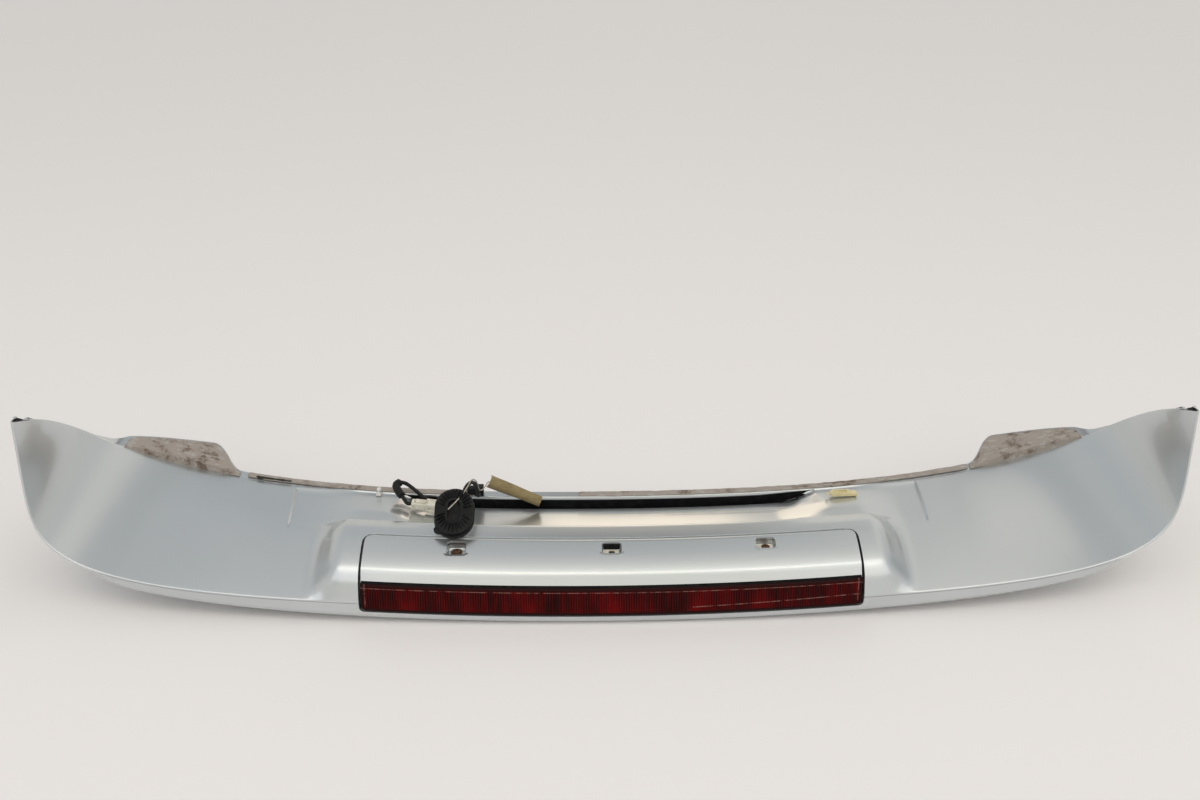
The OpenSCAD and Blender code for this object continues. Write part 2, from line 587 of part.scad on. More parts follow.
// Tube along a route: bore 0 makes it solid
module tube(route, d, bore = 0, sides = 8, k = 2) {
    p = smooth_route(route, k);
    ts = tangents(p);
    us = carried(ts, abs(ts[0].z) < 0.9 ? [0, 0, 1] : [1, 0, 0]);
    n = len(p);
    function ring(i, r) = let (v = cross(ts[i], us[i])) [for (a = [0:sides - 1])
        p[i] + r * (cos(a * 360 / sides) * us[i] + sin(a * 360 / sides) * v)];
    out = [for (i = [0:n - 1]) each ring(i, d / 2)];
    function wall_faces(o, flip) = [for (i = [0:n - 2]) for (a = [0:sides - 1]) let (
        q = o + i * sides + a, r = o + i * sides + (a + 1) % sides, f = [q, q + sides, r + sides, r])
        each (flip ? [[f[0], f[2], f[1]], [f[0], f[3], f[2]]] : [[f[0], f[1], f[2]], [f[0], f[2], f[3]]])];
    if (bore == 0) polyhedron(out, concat(wall_faces(0, false),
        [[for (a = [0:sides - 1]) a], [for (a = [sides - 1:-1:0]) (n - 1) * sides + a]]), convexity = 6);
    else {
        k2 = n * sides;
        inner = [for (i = [0:n - 1]) each ring(i, bore / 2)];
        caps = [for (a = [0:sides - 1]) let (b = (a + 1) % sides, e = k2 - sides)
            each [[a, b, k2 + b], [a, k2 + b, k2 + a],
                [e + b, e + a, k2 + e + a], [e + b, k2 + e + a, k2 + e + b]]];
        polyhedron(concat(out, inner), concat(wall_faces(0, false), wall_faces(k2, true), caps), convexity = 8);
    }
}
module lamp_lead() { color([0.06, 0.06, 0.06]) placed() tube(LAMP_LEAD, lead_d); }
sleeve_fit = 0.8;
module lead_sleeve() {
    color([0.1, 0.1, 0.1]) placed()
        tube([for (i = [7:10]) LAMP_LEAD[i]], sleeve_d, lead_d + sleeve_fit, 12, 3);
}
module harness_lead() { color([0.06, 0.06, 0.06]) placed() tube(HARNESS_LEAD, lead_d); }
module harness_tail() { color([0.06, 0.06, 0.06]) placed() tube(HARNESS_TAIL, lead_d); }

// Places a piece whose length runs along its own X from one point to another
module along(a, b) {
    d = b - a;
    translate(a) rotate([0, -atan2(d.z, norm([d.x, d.y])), atan2(d.y, d.x)]) children();
}
plug_from = LAMP_LEAD[len(LAMP_LEAD) - 1] + [1, -0.3, -0.1];
plug_to = HARNESS_LEAD[0] - [1, 0, -0.2];
connector_l = norm(plug_to - plug_from);
connector_w = 14;
connector_h = 11;
module connector_plug() {
    half = connector_l / 2;
    color([0.9, 0.88, 0.82]) placed() along(plug_from, plug_to) {
        translate([0, -connector_w / 2 + 1.5, -connector_h / 2 + 1.5])
            cube([half, connector_w - 3, connector_h - 3]);
        translate([4, -connector_w / 2 + 3, connector_h / 2 - 1.5])
            cube([half - 4, connector_w - 6, 2.5]);
    }
}
module connector_socket() {
    half = connector_l / 2;
    color([0.88, 0.86, 0.8]) placed() along(plug_from, plug_to) {
        translate([half, -connector_w / 2, -connector_h / 2]) cube([half - 3, connector_w, connector_h]);
        translate([connector_l - 4, -connector_w / 2 + 2, -connector_h / 2 + 2])
            cube([4, connector_w - 4, connector_h - 4]);
    }
}
// Grommet: an oval head that leans on the boss crest, and a neck down into the trough
grommet_lean = 25;
grommet_foot = [-171, 66, 71.2];
module oval(w, l, h) {
    linear_extrude(h) hull() for (e = [-1, 1]) translate([0, e * (l - w) / 2]) circle(d = w, $fn = 40);
}
module harness_grommet() {
    bands = [[0, 5, 0], [5, 4, 7], [9, 5, 1.5], [14, grommet_t - 14, 9]];
    neck_end = HARNESS_LEAD[len(HARNESS_LEAD) - 1];
    neck_start = grommet_foot + [0, 24, 11.5];
    neck_l = norm(neck_end - neck_start);
    color([0.07, 0.07, 0.07]) placed() {
        translate(grommet_foot) rotate([grommet_lean, 0, 0]) translate([0, grommet_l / 2, 0])
            for (b = bands) translate([0, 0, b[0]]) oval(grommet_w - b[2], grommet_l - b[2], b[1]);
        along(neck_start, neck_end) rotate([0, 90, 0])
            cylinder(h = neck_l - 0.6, d1 = 18, d2 = 9, $fn = 40);
    }
}
module tail_connector() {
    color([0.08, 0.08, 0.08]) placed() translate([-157, 170, 55.7]) {
        cube([10, 12, 10]);
        translate([-9, 1.5, 1]) cube([9, 9, 8]);
    }
}
module tag_string() { color([0.8, 0.78, 0.72]) placed() tube(TAG_STRING, string_d, 0, 6, 2); }
// Rolled kraft tag: a thin sheet curled about its long axis
tag_from = [-140, 173, 76];
tag_to_dir = unit([61, -12, -22]);
module tag() {
    roll = 8;
    sheet_t = 0.6;
    color([0.55, 0.47, 0.3]) placed() along(tag_from, tag_from + tag_to_dir * tag_l)
        rotate([0, 90, 0]) rotate([0, 0, 95])
            rotate_extrude(angle = 170, $fn = 64) translate([roll, 0]) square([sheet_t, tag_l]);
}

outer_skin();
inner_skin();
lamp_cover();
lamp_lens();
lens_seal();
lamp_housing();
lamp_reflector();
led_board();
leds();
screw_grommet_left();
screw_grommet_centre();
screw_grommet_right();
cover_screw_left();
cover_screw_right();
flange_tape();
tape_pad_left();
tape_pad_right();
foam_strip();
liner_strip();
locating_clip();
spare_clip();
lamp_lead();
lead_sleeve();
connector_plug();
connector_socket();
harness_lead();
harness_grommet();
harness_tail();
tail_connector();
tag_string();
tag();
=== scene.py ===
"""Tailgate spoiler of a car, lying upside down on a pale sheet, dressed for pictures.

Sizes are in millimetres, as on the maker's drawing, and become metres when a mesh is made.
X runs along the span, Z is up, and Y is counted from the middle of the trailing edge towards
the front of the car. MID_Y moves it into the frame.
"""

import logging
import math
from dataclasses import dataclass
from enum import Enum
from typing import Iterable, Optional, Sequence, Union

import bpy
import numpy as np
from mathutils import Matrix, Vector, noise

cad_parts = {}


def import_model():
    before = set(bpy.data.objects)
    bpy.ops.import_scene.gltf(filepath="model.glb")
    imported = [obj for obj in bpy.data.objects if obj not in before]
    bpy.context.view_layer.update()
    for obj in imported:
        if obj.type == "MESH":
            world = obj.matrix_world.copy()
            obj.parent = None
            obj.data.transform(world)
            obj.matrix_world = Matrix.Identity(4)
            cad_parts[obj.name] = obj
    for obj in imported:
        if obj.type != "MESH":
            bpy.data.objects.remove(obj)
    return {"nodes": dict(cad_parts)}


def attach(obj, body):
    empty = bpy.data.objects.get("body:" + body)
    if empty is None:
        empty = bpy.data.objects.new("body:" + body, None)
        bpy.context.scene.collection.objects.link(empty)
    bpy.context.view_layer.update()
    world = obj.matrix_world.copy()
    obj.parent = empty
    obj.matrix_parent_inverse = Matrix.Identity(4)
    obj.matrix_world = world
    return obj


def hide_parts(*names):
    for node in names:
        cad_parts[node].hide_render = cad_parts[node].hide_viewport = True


LOG = logging.getLogger("spoiler")
Array = np.ndarray
Thing = bpy.types.Object
Number = Union[float, Array]
Pairs = Sequence[tuple[float, float]]
Triple = tuple[float, float, float]
Colour = Triple

MM = 0.001
PER_M2 = 1e-6  # turns a bow in millimetres per square metre into one per square millimetre
MID_Y = 127.2223  # middle of the whole part's depth
BODY = "root"
BROAD = 1e9  # reach of a rounding that takes up the whole of both sides
MOST_REACH = 0.485  # share of a side that a rounding may take
CREST_SAMPLES = 6001
LEAST_GAP = 0.02  # between two stations
STEEP = 0.9  # upward part of a direction for which Z is no guide
BEVEL_ANGLE = 40.0
FINE_SIDES = 24


# Basic maths on arrays of points


def mix(a: Number, b: Number, t: Number) -> Number:
    """Blends from a to b by the share t."""
    return a + (b - a) * t


def ramp(a: float, b: float, x: Array) -> Array:
    """Share of the way from a to b, held between 0 and 1."""
    return np.clip((x - a) / (b - a), 0.0, 1.0)


def ease(a: float, b: float, x: Array) -> Array:
    """Smooth share of the way from a to b."""
    t = ramp(a, b, x)
    return t * t * (3 - 2 * t)


def unit(v: Array) -> Array:
    """Vectors along the last axis, made one long."""
    return v / np.maximum(1e-9, np.linalg.norm(v, axis=-1, keepdims=True))


def run_of(line: Array) -> Array:
    """Distance along a line of points at each of them."""
    return np.concatenate([[0.0], np.cumsum(np.linalg.norm(np.diff(line, axis=0), axis=1))])


def circle(count: int) -> Array:
    """Evenly spaced angles all round."""
    return np.linspace(0, 2 * math.pi, count, endpoint=False)


def fall(s: Array, n: float) -> Array:
    """Height share of a superellipse at span share s: 1 in the middle, 0 at the tips."""
    return np.maximum(0.0, 1 - np.abs(s) ** n) ** (1 / n)


def stack(*parts: Number) -> Array:
    """Joins X, Y and Z arrays into points."""
    return np.stack(np.broadcast_arrays(*parts), axis=-1).astype(float)


@dataclass(frozen=True)
class Guides:
    """Guide curves of the shells over the span share s, from -1 to 1."""

    crest_half: float = 615
    crest_z: float = 25
    fin_z: float = 213
    crest_square: float = 6.5
    crest_rise: float = 30
    crest_bow: float = 115
    crest_sweep: float = 30
    front_half: float = 610
    front_y: float = 169
    front_z: float = 54
    front_tip_z: float = 204
    front_square: float = 3.5
    front_bow: float = 167
    front_drop: float = 136
    land_w: float = 11
    pad_w: float = 50
    pad_end_w: float = 24
    pad_in: float = 480
    pad_out: float = 570
    pad_slope: float = 0.27
    pad_z: float = 84
    pad_blend: float = 42
    flat_in: float = 18
    flat_out: float = 4
    fin_blend: float = 24
    fin_rim: float = 2
    bow_rise: float = 60

    def crest(self, s: Array) -> Array:
        """Points of the trailing crest.

        Args:
            s: span shares.

        Returns:
            The points.
        """
        x = self.crest_half * s
        k = 1 - fall(s, self.crest_square)
        rise = self.crest_rise * PER_M2
        top = self.fin_z - self.crest_z - rise * self.crest_half**2
        return stack(x, self.crest_bow * PER_M2 * x * x + self.crest_sweep * k, self.crest_z + rise * x * x + top * k)

    def front(self, s: Number) -> Array:
        """Points of the front edge.

        Args:
            s: span shares.

        Returns:
            The points.
        """
        x = self.front_half * s
        k = 1 - fall(s, self.front_square)
        return stack(x, self.front_y + self.front_bow * PER_M2 * x * x - self.front_drop * k * k,
                     self.front_z + (self.front_tip_z - self.front_z) * k)

    def _out(self, s: Array, n: float, half: float, rise: float) -> Array:
        """Outward normals of an arch seen from behind."""
        return unit(stack(np.sign(s) * np.abs(s) ** (n - 1) / half, 0.0, -fall(s, n) ** (n - 1) / rise))

    def crest_out(self, s: Array) -> Array:
        """Outward normals along the crest."""
        return self._out(s, self.crest_square, self.crest_half, self.fin_z - self.crest_z)

    def front_out(self, s: Array) -> Array:
        """Outward normals along the front edge."""
        return self._out(s, self.front_square, self.front_half, self.front_tip_z - self.front_z)

    def land_width(self, a: Array) -> Array:
        """Width of the mounting land at distance a from the middle.

        Args:
            a: distances.

        Returns:
            The widths.
        """
        inner = mix(self.land_w, self.pad_w, ease(self.pad_in - self.pad_blend, self.pad_in, a))
        pad = mix(self.pad_w, self.pad_end_w, ramp(self.pad_in, self.pad_out, a))
        outer = mix(self.pad_end_w, self.fin_rim, ramp(self.pad_out, self.pad_out + self.fin_blend, a))
        return np.where(a < self.pad_in, inner, np.where(a < self.pad_out, pad, outer))

    def pad_share(self, a: Array) -> Array:
        """Share by which the land is a flat pad at distance a from the middle."""
        return (ease(self.pad_in - self.pad_blend, self.pad_in - self.flat_in, a)
                * (1 - ease(self.pad_out + self.flat_out, self.pad_out + self.fin_blend, a)))

    def land_height(self, s: Array) -> Array:
        """Height of the land at span share s.

        Args:
            s: span shares.

        Returns:
            The heights.
        """
        f = self.front(s)
        a = np.abs(f[..., 0])
        return mix(f[..., 2], self.pad_z + self.pad_slope * (a - self.pad_in), self.pad_share(a))

    def on_land(self, s: Array, d: Number) -> Array:
        """Points of the land, d in front of the front edge."""
        f = self.front(s)
        return stack(f[..., 0], f[..., 1] + d, self.land_height(s))

    def rim(self, s: Array) -> Array:
        """Points of the land's far edge."""
        return self.on_land(s, self.land_width(np.abs(self.front(s)[..., 0])))

    def bow(self, x: Number) -> Array:
        """How far the boss is carried forward and up at distance x from the middle."""
        return stack(0.0 * x, self.crest_bow * PER_M2 * x * x, self.bow_rise * PER_M2 * x * x)


GUIDES = Guides()


def stations(step: float, clusters: Sequence[tuple[float, float, int]]) -> Array:
    """Distances from the middle at which the shells are cut, evenly spaced along the crest.

    Args:
        step: spacing along the crest.
        clusters: extra rows of stations, as first distance, last distance and number.

    Returns:
        The distances from left tip to right tip, in order.
    """
    s = np.sin(np.linspace(0, math.pi / 2, CREST_SAMPLES))
    line = GUIDES.crest(s)
    run = run_of(line)
    even = np.interp(np.arange(0.0, run[-1], step), run, line[:, 0])
    extra = [np.linspace(a, b, n) for a, b, n in clusters]
    half = np.unique(np.round(np.concatenate([even, *extra, [GUIDES.crest_half]]), 4))
    half = half[np.concatenate([[True], np.diff(half) > LEAST_GAP])]
    half[-1] = GUIDES.crest_half
    return np.concatenate([-half[:0:-1], half])


def rounded(controls: Array, radius: Array, steps: int) -> Array:
    """Rounds the corners of many polylines at once.

    Args:
        controls: corner points, as line, corner and XYZ.
        radius: reach of the rounding at each corner, broad where it is large.
        steps: points in each rounded corner.

    Returns:
        Points of the rounded lines, as line, point and XYZ.
    """
    p = controls[:, 1:-1]
    ends = []
    for beside in (controls[:, :-2], controls[:, 2:]):
        side = np.maximum(np.linalg.norm(beside - p, axis=-1), 1e-6)
        ends.append(mix(p, beside, np.minimum(MOST_REACH, radius[:, 1:-1] / side)[..., None]))
    a, b = ends
    rows = [controls[:, :1]]
    for j in range(p.shape[1]):
        for u in np.linspace(0, 1, steps):
            rows.append((a[:, j] * (1 - u) ** 2 + 2 * p[:, j] * u * (1 - u) + b[:, j] * u * u)[:, None])
    rows.append(controls[:, -1:])
    return np.concatenate(rows, axis=1)


def place(points: Array) -> Array:
    """Moves points in millimetres from the trailing edge into the frame, in metres."""
    return (np.asarray(points, float) - [0, MID_Y, 0]) * MM


def linked(name: str, data: bpy.types.ID) -> Thing:
    """Puts a mesh, camera or light into the scene.

    Args:
        name: its name.
        data: the mesh, camera or light.

    Returns:
        The new object.
    """
    obj = bpy.data.objects.new(name, data)
    bpy.context.scene.collection.objects.link(obj)
    return obj


def new_object(name: str, points: Array, faces: Sequence[Sequence[int]], closed: bool = True) -> Thing:
    """Makes a mesh object from points in metres.

    Args:
        name: the object's name.
        points: vertices in the frame.
        faces: corner numbers of each face.
        closed: turn the faces outwards by the mesh's signed volume.

    Returns:
        The new object, shaded smooth.
    """
    mesh = bpy.data.meshes.new(name)
    mesh.from_pydata(np.asarray(points, float).tolist(), [], faces)
    if closed:
        p = np.asarray(points, float) - np.mean(points, axis=0)
        tri = np.array([(f[0], f[i], f[i + 1]) for f in faces for i in range(1, len(f) - 1)])
        volume = np.einsum("ij,ij->i", p[tri[:, 0]], np.cross(p[tri[:, 1]], p[tri[:, 2]])).sum()
        if volume < 0:
            mesh.flip_normals()
    mesh.validate()
    mesh.shade_smooth()
    return linked(name, mesh)


def grid_faces(rows: int, columns: int, start: int = 0, wrap: bool = False) -> list[tuple[int, ...]]:
    """Four-sided faces of a grid of points, closed round its columns where wrap is set.

    Args:
        rows: number of rows.
        columns: points in a row.
        start: number of the first point.
        wrap: close the grid round its columns.

    Returns:
        Corner numbers of each face.
    """
    faces = []
    for i in range(rows - 1):
        for j in range(columns if wrap else columns - 1):
            k = (j + 1) % columns
            a, b = start + i * columns, start + (i + 1) * columns
            faces.append((a + j, b + j, b + k, a + k))
    return faces


def grid_normals(grid: Array) -> Array:
    """Normals of a grid of points by central differences."""
    return unit(np.cross(np.gradient(grid, axis=0), np.gradient(grid, axis=1)))


def shell(name: str, grid: Array, wall: Number, flip: bool = False, back: bool = False) -> Thing:
    """Closed shell with a wall behind a grid of points.

    Args:
        name: the object's name.
        grid: points of the shown face, in millimetres.
        wall: thickness, for all points or for each column.
        flip: put the wall on the other side.
        back: give the far side the second finish.

    Returns:
        The new object.
    """
    n, m = grid.shape[:2]
    side = -1.0 if flip else 1.0
    far = grid - grid_normals(grid) * np.asarray(wall, float)[..., None] * side
    k = n * m
    faces = grid_faces(n, m) + [f[::-1] for f in grid_faces(n, m, k)]
    border = ([i * m for i in range(n)] + [(n - 1) * m + j for j in range(1, m)]
              + [i * m + m - 1 for i in range(n - 2, -1, -1)] + [j for j in range(m - 2, 0, -1)])
    faces += [(a, k + a, k + b, b) for a, b in zip(border, border[1:] + border[:1])]
    obj = new_object(name, place(np.concatenate([grid.reshape(-1, 3), far.reshape(-1, 3)])), faces)
    if back:
        shown = (n - 1) * (m - 1)
        finish = [1 if shown <= i < 2 * shown else 0 for i in range(len(faces))]
        obj.data.polygons.foreach_set("material_index", finish)
    return obj


def solid_of(name: str, outline: Array, low: Array, high: Array) -> Thing:
    """Closed prism between two copies of an outline, at low and at high offsets.

    Args:
        name: the object's name.
        outline: points in millimetres.
        low: offset of the first copy.
        high: offset of the other copy.

    Returns:
        The prism.
    """
    n = len(outline)
    points = np.concatenate([outline + low, outline + high])
    faces = [tuple(range(n)), tuple(range(2 * n - 1, n - 1, -1))]
    faces += [(i, n + i, n + (i + 1) % n, (i + 1) % n) for i in range(n)]
    return new_object(name, place(points), faces)


class Cut(Enum):
    """What a cutter does to a piece."""

    REMOVE = "DIFFERENCE"
    KEEP = "INTERSECT"


def carve(obj: Thing, cutter: Thing, how: Cut = Cut.REMOVE) -> None:
    """Cuts a piece with another closed mesh, which is then thrown away.

    Args:
        obj: the piece.
        cutter: the other mesh.
        how: which part of the piece stays.
    """
    modifier = obj.modifiers.new("cut", "BOOLEAN")
    modifier.operation = how.value
    modifier.solver = "MANIFOLD"
    modifier.object = cutter
    before = len(obj.data.polygons)
    bake(obj)
    bpy.data.objects.remove(cutter)
    if len(obj.data.polygons) in (0, before):
        LOG.warning("%s: the cut left it at %d faces", obj.name, len(obj.data.polygons))


def bake(obj: Thing) -> Thing:
    """Turns a piece's modifiers into its own mesh.

    Args:
        obj: the piece.

    Returns:
        The same piece.
    """
    graph = bpy.context.evaluated_depsgraph_get()
    graph.update()
    mesh = bpy.data.meshes.new_from_object(obj.evaluated_get(graph), depsgraph=graph)
    obj.modifiers.clear()
    old = obj.data
    obj.data = mesh
    if old.users == 0:
        bpy.data.meshes.remove(old)
    return obj


def joined(name: str, parts: Sequence[Thing]) -> Thing:
    """Joins pieces into one object with the given name.

    Args:
        name: the object's name.
        parts: pieces, the first of which takes in the others.

    Returns:
        The joined piece.
    """
    first = parts[0]
    with bpy.context.temp_override(active_object=first, selected_editable_objects=list(parts), object=first):
        bpy.ops.object.join()
    first.name = name
    return first


def crisp(obj: Thing, degrees: float = 35.0) -> Thing:
    """Keeps the edges sharp where faces meet at more than the given angle."""
    obj.data.set_sharp_from_angle(angle=math.radians(degrees))
    return obj


def bevelled(obj: Thing, width: float, segments: int = 3) -> Thing:
    """Rounds a piece's sharp edges, in millimetres.

    Args:
        obj: the piece.
        width: width of the rounding.
        segments: faces across it.

    Returns:
        The same piece.
    """
    modifier = obj.modifiers.new("bevel", "BEVEL")
    modifier.width = width * MM
    modifier.segments = segments
    modifier.limit_method = "ANGLE"
    modifier.angle_limit = math.radians(BEVEL_ANGLE)
    return bake(obj)


def block(name: str, low: Sequence[float], high: Sequence[float], turn: Matrix = Matrix.Identity(3),
          at: Sequence[float] = (0, 0, 0)) -> Thing:
    """Box between two corners, turned and then moved to a point, in millimetres.

    Args:
        name: the object's name.
        low: lowest corner.
        high: highest corner.
        turn: its rotation.
        at: where its origin goes.

    Returns:
        The box.
    """
    corners = [Vector((x, y, z)) for z in (low[2], high[2]) for x, y in
               ((low[0], low[1]), (high[0], low[1]), (high[0], high[1]), (low[0], high[1]))]
    points = np.array([turn @ c for c in corners]) + np.array(at, float)
    faces = [(3, 2, 1, 0), (4, 5, 6, 7), (0, 1, 5, 4), (1, 2, 6, 5), (2, 3, 7, 6), (3, 0, 4, 7)]
    return new_object(name, place(points), faces)


def turned(name: str, profile: Pairs, at: Sequence[float],
           tilt: Matrix = Matrix.Identity(3)) -> Thing:
    """Turned solid from radii and heights, tilted and then moved to a point.

    Args:
        name: the object's name.
        profile: radius and height of each ring.
        at: where its axis starts.
        tilt: its rotation.

    Returns:
        The solid.
    """
    around = circle(32)
    rings = np.array([stack(r * np.cos(around), r * np.sin(around), z) for r, z in profile])
    return loft(name, rings @ np.array(tilt).T + np.array(at, float))


def loft_faces(n: int, m: int) -> list[tuple[int, ...]]:
    """Faces over n rings of m points, with flat ends."""
    return grid_faces(n, m, wrap=True) + [tuple(range(m)), tuple(range(n * m - 1, (n - 1) * m - 1, -1))]


def loft(name: str, rings: Array) -> Thing:
    """Closed skin over rings of points in millimetres."""
    return new_object(name, place(rings.reshape(-1, 3)), loft_faces(*rings.shape[:2]))


def smooth_route(route: Sequence[Sequence[float]], steps: int) -> Array:
    """Catmull-Rom curve through a route's points, in millimetres.

    Args:
        route: points that it passes.
        steps: points on each stretch.

    Returns:
        Points of the curve.
    """
    p = np.array(route, float)
    out = []
    for i in range(len(p) - 1):
        a, b, c, d = p[max(0, i - 1)], p[i], p[i + 1], p[min(len(p) - 1, i + 2)]
        for k in range(steps):
            t = k / steps
            out.append(0.5 * (2 * b + (c - a) * t + (2 * a - 5 * b + 4 * c - d) * t * t
                              + (3 * b - a - 3 * c + d) * t**3))
    return np.array(out + [p[-1]])


def tube(name: str, line: Array, radius: Number, sides: int = 16) -> Thing:
    """Round tube with closed ends along a line of points in millimetres.

    Args:
        name: the object's name.
        line: points of its middle line.
        radius: for the whole tube or for each point.
        sides: points round it.

    Returns:
        The tube.
    """
    tangent = unit(np.gradient(line, axis=0))
    up = np.array([0.0, 0.0, 1.0]) if abs(tangent[0, 2]) < STEEP else np.array([1.0, 0.0, 0.0])
    around = circle(sides)
    rings = []
    for t, p, r in zip(tangent, line, np.broadcast_to(radius, len(line))):
        up = unit(up - up.dot(t) * t)
        across = np.cross(t, up)
        rings.append(p + r * (np.cos(around)[:, None] * up + np.sin(around)[:, None] * across))
    return loft(name, np.array(rings))


def post(name: str, at: Array, low: float, high: float, radius: float) -> Thing:
    """Upright round bar from low to high above a point."""
    return tube(name, np.array([at + [0, 0, z] for z in (low, high)]), radius, FINE_SIDES)


# Shader maths


class Sock:
    """Output of a shader node, on which sums are written as Python expressions."""

    def __init__(self, tree: "Tree", socket: bpy.types.NodeSocket) -> None:
        """Wraps one output of a tree's node."""
        self.tree = tree
        self.socket = socket

    def __add__(self, other: "Value") -> "Sock":
        """Sum."""
        return self.tree.maths("ADD", self, other)

    def __sub__(self, other: "Value") -> "Sock":
        """Difference."""
        return self.tree.maths("SUBTRACT", self, other)

    def __rsub__(self, other: "Value") -> "Sock":
        """Difference from a number."""
        return self.tree.maths("SUBTRACT", other, self)

    def __mul__(self, other: "Value") -> "Sock":
        """Product."""
        return self.tree.maths("MULTIPLY", self, other)

    def __gt__(self, other: "Value") -> "Sock":
        """One where this is greater."""
        return self.tree.maths("GREATER_THAN", self, other)

    __radd__ = __add__
    __rmul__ = __mul__


Value = Union[Sock, float]


class Tree:
    """A tree of shader nodes, for a material or for the surroundings."""

    def __init__(self, owner: Union[bpy.types.Material, bpy.types.World]) -> None:
        """Turns the owner's nodes on.

        Args:
            owner: material or world.
        """
        owner.use_nodes = True
        self.nodes = owner.node_tree.nodes
        self.links = owner.node_tree.links

    def node(self, kind: str, settings: Optional[dict] = None, values: Optional[dict] = None) -> bpy.types.Node:
        """Adds a node.

        Args:
            kind: the node's type, without the ShaderNode in front.
            settings: what is set on the node, with a ramp's stops under "stops".
            values: what goes into its sockets, by name or number.

        Returns:
            The new node.
        """
        made = self.nodes.new("ShaderNode" + kind)
        for key, value in (settings or {}).items():
            if key == "stops":
                stops = made.color_ramp.elements
                while len(stops) < len(value):
                    stops.new(0.5)
                for stop, (at, colour) in zip(stops, value):
                    stop.position, stop.color = at, (*colour, 1.0)
            else:
                setattr(made, key, value)
        for key, value in (values or {}).items():
            self.feed(made.inputs[key], value)
        return made

    def feed(self, socket: bpy.types.NodeSocket, value: object) -> None:
        """Links a wrapped output to a socket, or sets the socket's own value.

        Args:
            socket: input of a node.
            value: wrapped output, number or colour.
        """
        if isinstance(value, Sock):
            self.links.new(value.socket, socket)
        elif isinstance(value, tuple) and socket.type == "RGBA":
            socket.default_value = (*value, 1.0)
        else:
            socket.default_value = value

    def sock(self, kind: str, settings: Optional[dict] = None, values: Optional[dict] = None,
             out: Union[int, str] = 0) -> Sock:
        """Adds a node and wraps one of its outputs."""
        return Sock(self, self.node(kind, settings, values).outputs[out])

    def maths(self, operation: str, a: Value, b: Value = 0.0, c: Value = 0.0) -> Sock:
        """Result of a Math node."""
        return self.sock("Math", {"operation": operation}, {0: a, 1: b, 2: c})

    def share(self, a: float, b: float, x: Sock) -> Sock:
        """Smooth share of the way from a to b."""
        return self.sock("MapRange", {"interpolation_type": "SMOOTHSTEP"}, {0: x, 1: a, 2: b})

    def place(self, source: str = "Object", stretch: tuple = (1, 1, 1), turn: tuple = (0, 0, 0)) -> Sock:
        """Coordinates of the surface, stretched and turned."""
        return self.sock("Mapping", None, {"Vector": self.sock("TexCoord", out=source), "Scale": stretch,
                                           "Rotation": turn})

    def axis(self, vector: Sock, which: int) -> Sock:
        """One component of a vector."""
        return self.sock("SeparateXYZ", None, {0: vector}, which)

    def noise(self, vector: Sock, scale: float, detail: float = 3.0, rough: float = 0.55) -> Sock:
        """Soft noise from 0 to 1."""
        return self.sock("TexNoise", None, {"Vector": vector, "Scale": scale, "Detail": detail, "Roughness": rough})

    def blend(self, share: Value, a: object, b: object) -> Sock:
        """Mixes two colours."""
        return self.sock("Mix", {"data_type": "RGBA"}, {0: share, 6: a, 7: b}, 2)

    def bump(self, height: Sock, strength: float, depth: float) -> Sock:
        """Normal from a height pattern, depth in millimetres."""
        return self.sock("Bump", None, {"Strength": strength, "Distance": depth * MM, "Height": height})


class Shader(Tree):
    """A material with one surface shader."""

    def __init__(self, name: str) -> None:
        """Starts the material.

        Args:
            name: the material's name.
        """
        self.material = bpy.data.materials.new(name)
        super().__init__(self.material)
        self.surface = self.nodes["Principled BSDF"]

    def dress(self, **values: object) -> bpy.types.Material:
        """Feeds the surface shader's sockets, named with underscores for spaces.

        Args:
            values: what goes into each socket.

        Returns:
            The material.
        """
        for key, value in values.items():
            self.feed(self.surface.inputs[key.replace("_", " ")], value)
        return self.material


class Finish:
    """Look of one kind of surface. It makes its material once."""

    name: str

    def build(self, shader: Shader) -> bpy.types.Material:
        """Fills the shader in."""
        raise NotImplementedError

    def material(self) -> bpy.types.Material:
        """The finish's material, made when it is first asked for."""
        return bpy.data.materials.get(self.name) or self.build(Shader(self.name))


@dataclass(frozen=True)
class Paint(Finish):
    """Metallic paint under clear coat, with dust and fine wear."""

    name: str = "metallic_paint"
    colour: Colour = (0.62, 0.65, 0.665)
    shade: Colour = (0.55, 0.59, 0.615)
    dust: Colour = (0.55, 0.54, 0.50)
    metallic: float = 0.86
    roughness: float = 0.28
    wear: float = 0.03
    tone_scale: float = 5.0
    dust_scale: float = 35.0
    flake_scale: float = 2600.0
    hair_stretch: Triple = (9, 160, 60)
    hair_turn: float = 0.35
    coat: float = 0.9
    coat_roughness: float = 0.04

    def build(self, shader: Shader) -> bpy.types.Material:
        """Broad tone changes, dust in patches, flakes and short hairline scratches.

        Args:
            shader: the material's tree.

        Returns:
            The material.
        """
        here = shader.place()
        tone = shader.share(0.35, 0.7, shader.noise(here, self.tone_scale, 3))
        dusty = shader.share(0.55, 0.85, shader.noise(here, self.dust_scale, 5, 0.6))
        drawn = shader.place(stretch=self.hair_stretch, turn=(0, 0, self.hair_turn))
        hair = shader.share(0.70, 0.76, shader.noise(drawn, 12.0, 2))
        flake = shader.noise(here, self.flake_scale, 1)
        colour = shader.blend(tone * 0.5, self.colour, self.shade)
        colour = shader.blend(dusty * 0.10 + hair * 0.05, colour, self.dust)
        rough = self.roughness + dusty * self.wear + tone * self.wear + hair * self.wear
        normal = shader.bump(flake, 0.05, 0.03)
        return shader.dress(Base_Color=colour, Metallic=self.metallic, Roughness=rough, Normal=normal,
                            Coat_Weight=self.coat, Coat_Roughness=self.coat_roughness, IOR=1.5)


